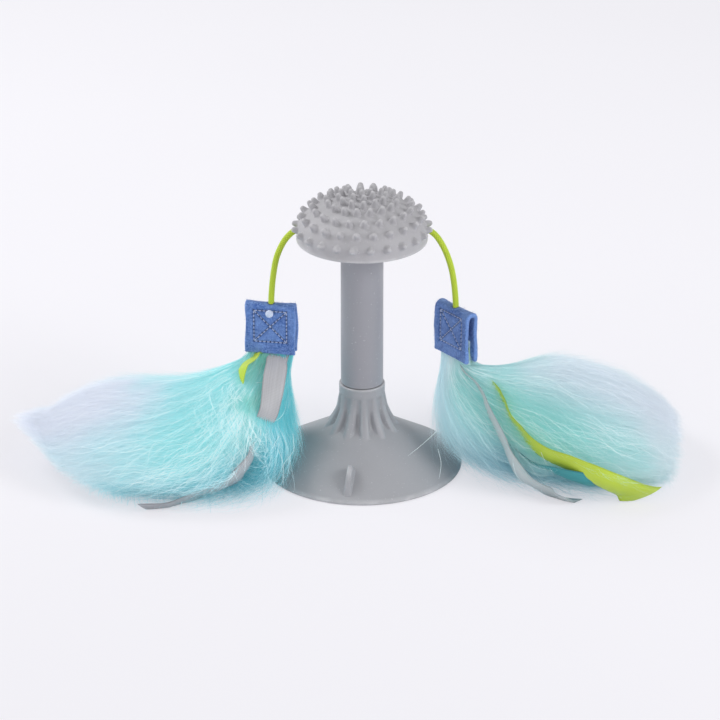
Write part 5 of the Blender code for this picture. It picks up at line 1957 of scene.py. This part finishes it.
# Each loose hair is its y, then its places as x and z.
LOOSE_HAIRS = {
    Side.LEFT: (
        (-0.024, ((-0.0479, 0.0340), (-0.0444, 0.0332), (-0.0409, 0.0346), (-0.0380, 0.0387),
                  (-0.0368, 0.0433))),
        (-0.012, ((-0.0552, 0.0477), (-0.0512, 0.0488), (-0.0443, 0.0481))),
        (-0.036, ((-0.0493, 0.0354), (-0.0499, 0.0285), (-0.0517, 0.0208), (-0.0530, 0.0132),
                  (-0.0528, 0.0072))),
        (-0.036, ((-0.0470, 0.0323), (-0.0465, 0.0246), (-0.0478, 0.0175), (-0.0490, 0.0118))),
        (-0.036, ((-0.0405, 0.0311), (-0.0440, 0.0240), (-0.0470, 0.0181), (-0.0495, 0.0110))),
        (-0.046, ((-0.0334, 0.0369), (-0.0330, 0.0294), (-0.0379, 0.0208), (-0.0419, 0.0116))),
        (-0.046, ((-0.0408, 0.0289), (-0.0384, 0.0208), (-0.0382, 0.0143), (-0.0395, 0.0083))),
        (-0.030, ((-0.0580, 0.0466), (-0.0614, 0.0487), (-0.0638, 0.0482), (-0.0653, 0.0455))),
    ),
    Side.RIGHT: (
        (-0.046, ((0.0362, 0.0385), (0.0300, 0.0321), (0.0223, 0.0251))),
        (-0.046, ((0.0368, 0.0289), (0.0384, 0.0208), (0.0375, 0.0127))),
        (-0.044, ((0.0869, 0.0263), (0.0900, 0.0187), (0.0956, 0.0111), (0.1016, 0.0046))),
        (-0.044, ((0.0889, 0.0252), (0.0930, 0.0176), (0.0995, 0.0106), (0.1079, 0.0062))),
        (-0.044, ((0.0734, 0.0203), (0.0750, 0.0144), (0.0780, 0.0100))),
        (-0.044, ((0.0817, 0.0187), (0.0873, 0.0111), (0.0948, 0.0051), (0.1027, 0.0019))),
    ),
}

CORD_ROUTES = {
    Side.LEFT: (
        (-0.0276, 0.1246), (-0.0300, 0.1246), (-0.0322, 0.1244), (-0.0362, 0.1213), (-0.0396, 0.1158),
        (-0.0419, 0.1095), (-0.0433, 0.1018), (-0.0441, 0.0947), (-0.0445, 0.0888), (-0.0446, 0.0843),
    ),
    Side.RIGHT: (
        (0.0276, 0.1246), (0.0300, 0.1246), (0.0322, 0.1245), (0.0352, 0.1226), (0.0384, 0.1182),
        (0.0413, 0.1121), (0.0438, 0.1040), (0.0452, 0.0955), (0.0459, 0.0880), (0.0462, 0.0823),
    ),
}

LEFT_CURLS = (
    Coat("guard_curls", 260, 26, (0.13, 0.24), (0.05, 0.13), (1.02, 1.14), 0.03, 0.00014, 0.34, 0.03, 22,
         0.34, (150, 212)),
    Coat("guard_strays", 220, 90, (0.20, 0.50), (0.14, 0.34), (1.04, 1.14), 0.06, 0.00018, 0.40, 0.03, 14,
         0.12, (172, 262)),
)

COATS = (
    Coat("fur_heart", 6000, 2400, (0.64, 0.88), (0.12, 0.26), (0.10, 0.80), 0.0, 0.00030, 0.20, points=4),
    Coat("fur_under", 22000, 4000, (0.04, 0.82), (0.16, 0.30), (0.76, 0.90), 0.10, 0.00027, 0.20, points=4),
    Coat("fur_middle", 20500, 5000, (0.04, 0.84), (0.16, 0.32), (0.84, 1.00), 0.12, 0.00021, 0.20),
    Coat("fur_over", 20500, 6000, (0.04, 0.88), (0.14, 0.30), (0.92, 1.06), 0.14, 0.00015, 0.20, 0.03),
    Coat("fur_fringe", 22000, 9000, (0.12, 0.94), (0.07, 0.18), (0.98, 1.14), 0.16, 0.00010, 0.34, 0.06, 4),
    Coat("guard_hairs", 900, 260, (0.08, 0.60), (0.14, 0.34), (1.00, 1.08), 0.08, 0.00022, 0.20, 0.03, 14,
         0.10),
)

PARTINGS = {
    Side.LEFT: (
        (RIBBON_ROUTES[Side.LEFT, Tone.GREEN], 0.0, 0.17, 24, 0.90),
        (RIBBON_ROUTES[Side.LEFT, Tone.GREY], 0.0, 0.23, 34, 0.88),
        (RIBBON_ROUTES[Side.LEFT, Tone.GREY], 0.32, 0.70, 6, 0.96),
    ),
    Side.RIGHT: (
        (RIBBON_ROUTES[Side.RIGHT, Tone.GREEN], 0.44, 0.85, 5, 0.96),
        (RIBBON_ROUTES[Side.RIGHT, Tone.GREY], 0.18, 0.40, 3, 0.93),
        (RIBBON_ROUTES[Side.RIGHT, Tone.GREY], 0.40, 0.67, 4, 0.96),
        (RIBBON_ROUTES[Side.RIGHT, Tone.TEAL], 0.54, 0.72, 6, 0.95),
    ),
}

WHITE = colour(250, 253, 254)
# Each side: root, body and tip dyes; crown, painted light of the upper side; inner, the lower side near the
# pad (painted shade on the left, painted light on the right); under, painted shade of the lower side; then
# white, tip_from, tip_to and crowned.
DYES = {
    Side.LEFT: (
        *shades((160, 222, 212), (180, 237, 239), (222, 237, 242)),
        *shades((234, 236, 243), (138, 230, 238), (112, 204, 216)),
        WHITE, 0.40, 0.86, (0.26, 0.66),
    ),
    Side.RIGHT: (
        *shades((224, 238, 240), (176, 232, 230), (224, 234, 238)),
        *shades((230, 235, 241), (228, 244, 248), (142, 194, 208)),
        WHITE, 0.48, 0.96, (0.06, 0.46),
    ),
}
# The guard hairs' crown is painted light of the upper side, their inner and under painted shade of the lower
# side.
GUARD_DYES = (
    *shades((228, 244, 246), (236, 248, 249), (242, 246, 250)),
    *shades((240, 242, 250), (214, 240, 246), (206, 238, 244)),
    WHITE, 0.5, 1.0,
)

# Each ribbon colour: base, the light of its painted sheen streaks, and dark for weave rows and selvedge.
TONES = {
    Tone.GREEN: shades((196, 222, 58), (212, 232, 92), (150, 180, 30)),
    Tone.GREY: shades((176, 176, 180), (198, 198, 202), (128, 128, 134)),
    Tone.TEAL: shades((48, 148, 156), (78, 172, 176), (24, 104, 116)),
}
# Painted light: the right plume's grey ribbon is the same grey as the left's, painted paler to lift the shade
# it lies in.
RIGHT_GREY_PAINTED_LIGHT_TONES = shades((196, 206, 206), (216, 222, 222), (138, 150, 154))
LAYERS = {Tone.TEAL: 0, Tone.GREEN: 1, Tone.GREY: 1}

HEAD_HOLE = (0.0252, 0.1246)
PAD_KNOTS = {Side.LEFT: (-0.0446, 0.0816), Side.RIGHT: (0.0462, 0.0796)}
PADS = {Side.LEFT: (-0.0446, 0.0865, -10.5), Side.RIGHT: (0.0462, 0.0845, -53.0)}


def build_cords(material: bpy.types.Material) -> None:
    """Both cords, their stopper knots in the head and their knots in the pads."""
    for side in Side:
        Cord(side, [(x, 0.0, z) for x, z in CORD_ROUTES[side]]).build(material)
    for side in Side:
        label = side.label
        stop, (x, z) = (side.value * HEAD_HOLE[0], 0.0, HEAD_HOLE[1]), PAD_KNOTS[side]
        CordKnot(f"{label}_stopper_knot", stop, f"{label}_head_knot", "head").build(material)
        CordKnot(f"{label}_sewn_knot", (x, 0.0, z), f"{label}_pad_knot", f"{label}_knot_body").build(material)


def build_ribbons(form: PlumeForm) -> None:
    """One plume's set of ribbons, each in its own satin."""
    for (side, tone), route in RIBBON_ROUTES.items():
        if side is not form.side:
            continue
        length = form.length * (route[-1][0] - route[0][0])
        worn = RIGHT_GREY_PAINTED_LIGHT_TONES if (side, tone) == (Side.RIGHT, Tone.GREY) else TONES[tone]
        satin = SatinFinish(f"ribbon_{tone.value}_{side.label}", *worn, length).make()
        cut_deg = -38.0 if (side, tone) == (Side.RIGHT, Tone.GREEN) else 35.0
        Ribbon(form, tone, route, RIBBON_LIES[side, tone], LAYERS[tone], cut_deg=cut_deg).build(satin)


def build_tassels() -> None:
    """Both felt pads, plumes and sets of ribbons."""
    # The felt's third colour is the painted shade of its holes.
    felt = FeltFinish("felt_blue", *shades((52, 94, 170), (122, 158, 220), (12, 18, 50))).make()
    thread = ThreadFinish("thread_pale", *shades((226, 236, 252), (164, 182, 222))).make()
    pads = {side: FeltPad(side, *PADS[side]) for side in Side}
    for pad in pads.values():
        pad.build(felt, thread)
    ThreadKnot(pads[Side.LEFT]).build(thread)
    guard = FurFinish("guard_white", *GUARD_DYES, through=0.3, glow=0.2).make()
    forms = {
        Side.LEFT: PlumeForm(pads[Side.LEFT], 0.1220, LEFT_STATIONS),
        Side.RIGHT: PlumeForm(pads[Side.RIGHT], 0.1200, RIGHT_STATIONS),
    }
    for seed, side in ((100, Side.LEFT), (300, Side.RIGHT)):
        fur = FurFinish(f"fur_{side.label}", *DYES[side]).make()
        matted = FurFinish(f"matted_fur_{side.label}", *DYES[side], through=0.0, soft=0.6).make()
        shape = (PLUME_ENDS[side], PLUME_LIFTS[side], PLUME_FULLNESS[side], LOOSE_HAIRS[side])
        worn = COATS + (LEFT_CURLS if side is Side.LEFT else ())
        Plume(forms[side], worn, PARTINGS[side], *shape, seed).build(fur, matted, guard)
    for form in forms.values():
        build_ribbons(form)


def main() -> None:
    """Builds the studio and the toy."""
    logging.basicConfig(level=logging.INFO, format="%(name)s: %(message)s")
    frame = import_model()
    Studio().build()
    # The cord's second colour is the painted shade of the braid's valleys.
    build_cords(BraidFinish("cord_green", *shades((210, 234, 56), (142, 170, 24))).make())
    cup = MouldedFinish("cup_silicone", colour(164, 165, 170), 0.05, 0.52, sheen=0.1, coat=0.05).make()
    SuctionCup().build(cup)
    Stem().build(MouldedFinish("stem_plastic", colour(156, 156, 163), 0.03, 0.42, 900.0, 0.00002).make())
    dome = MouldedFinish("head_silicone", colour(176, 175, 179), 0.05, 0.60, sheen=0.15).make()
    Head().build(dome, frame["nodes"]["head_base"])
    build_tassels()


if __name__ == "__main__":
    main()
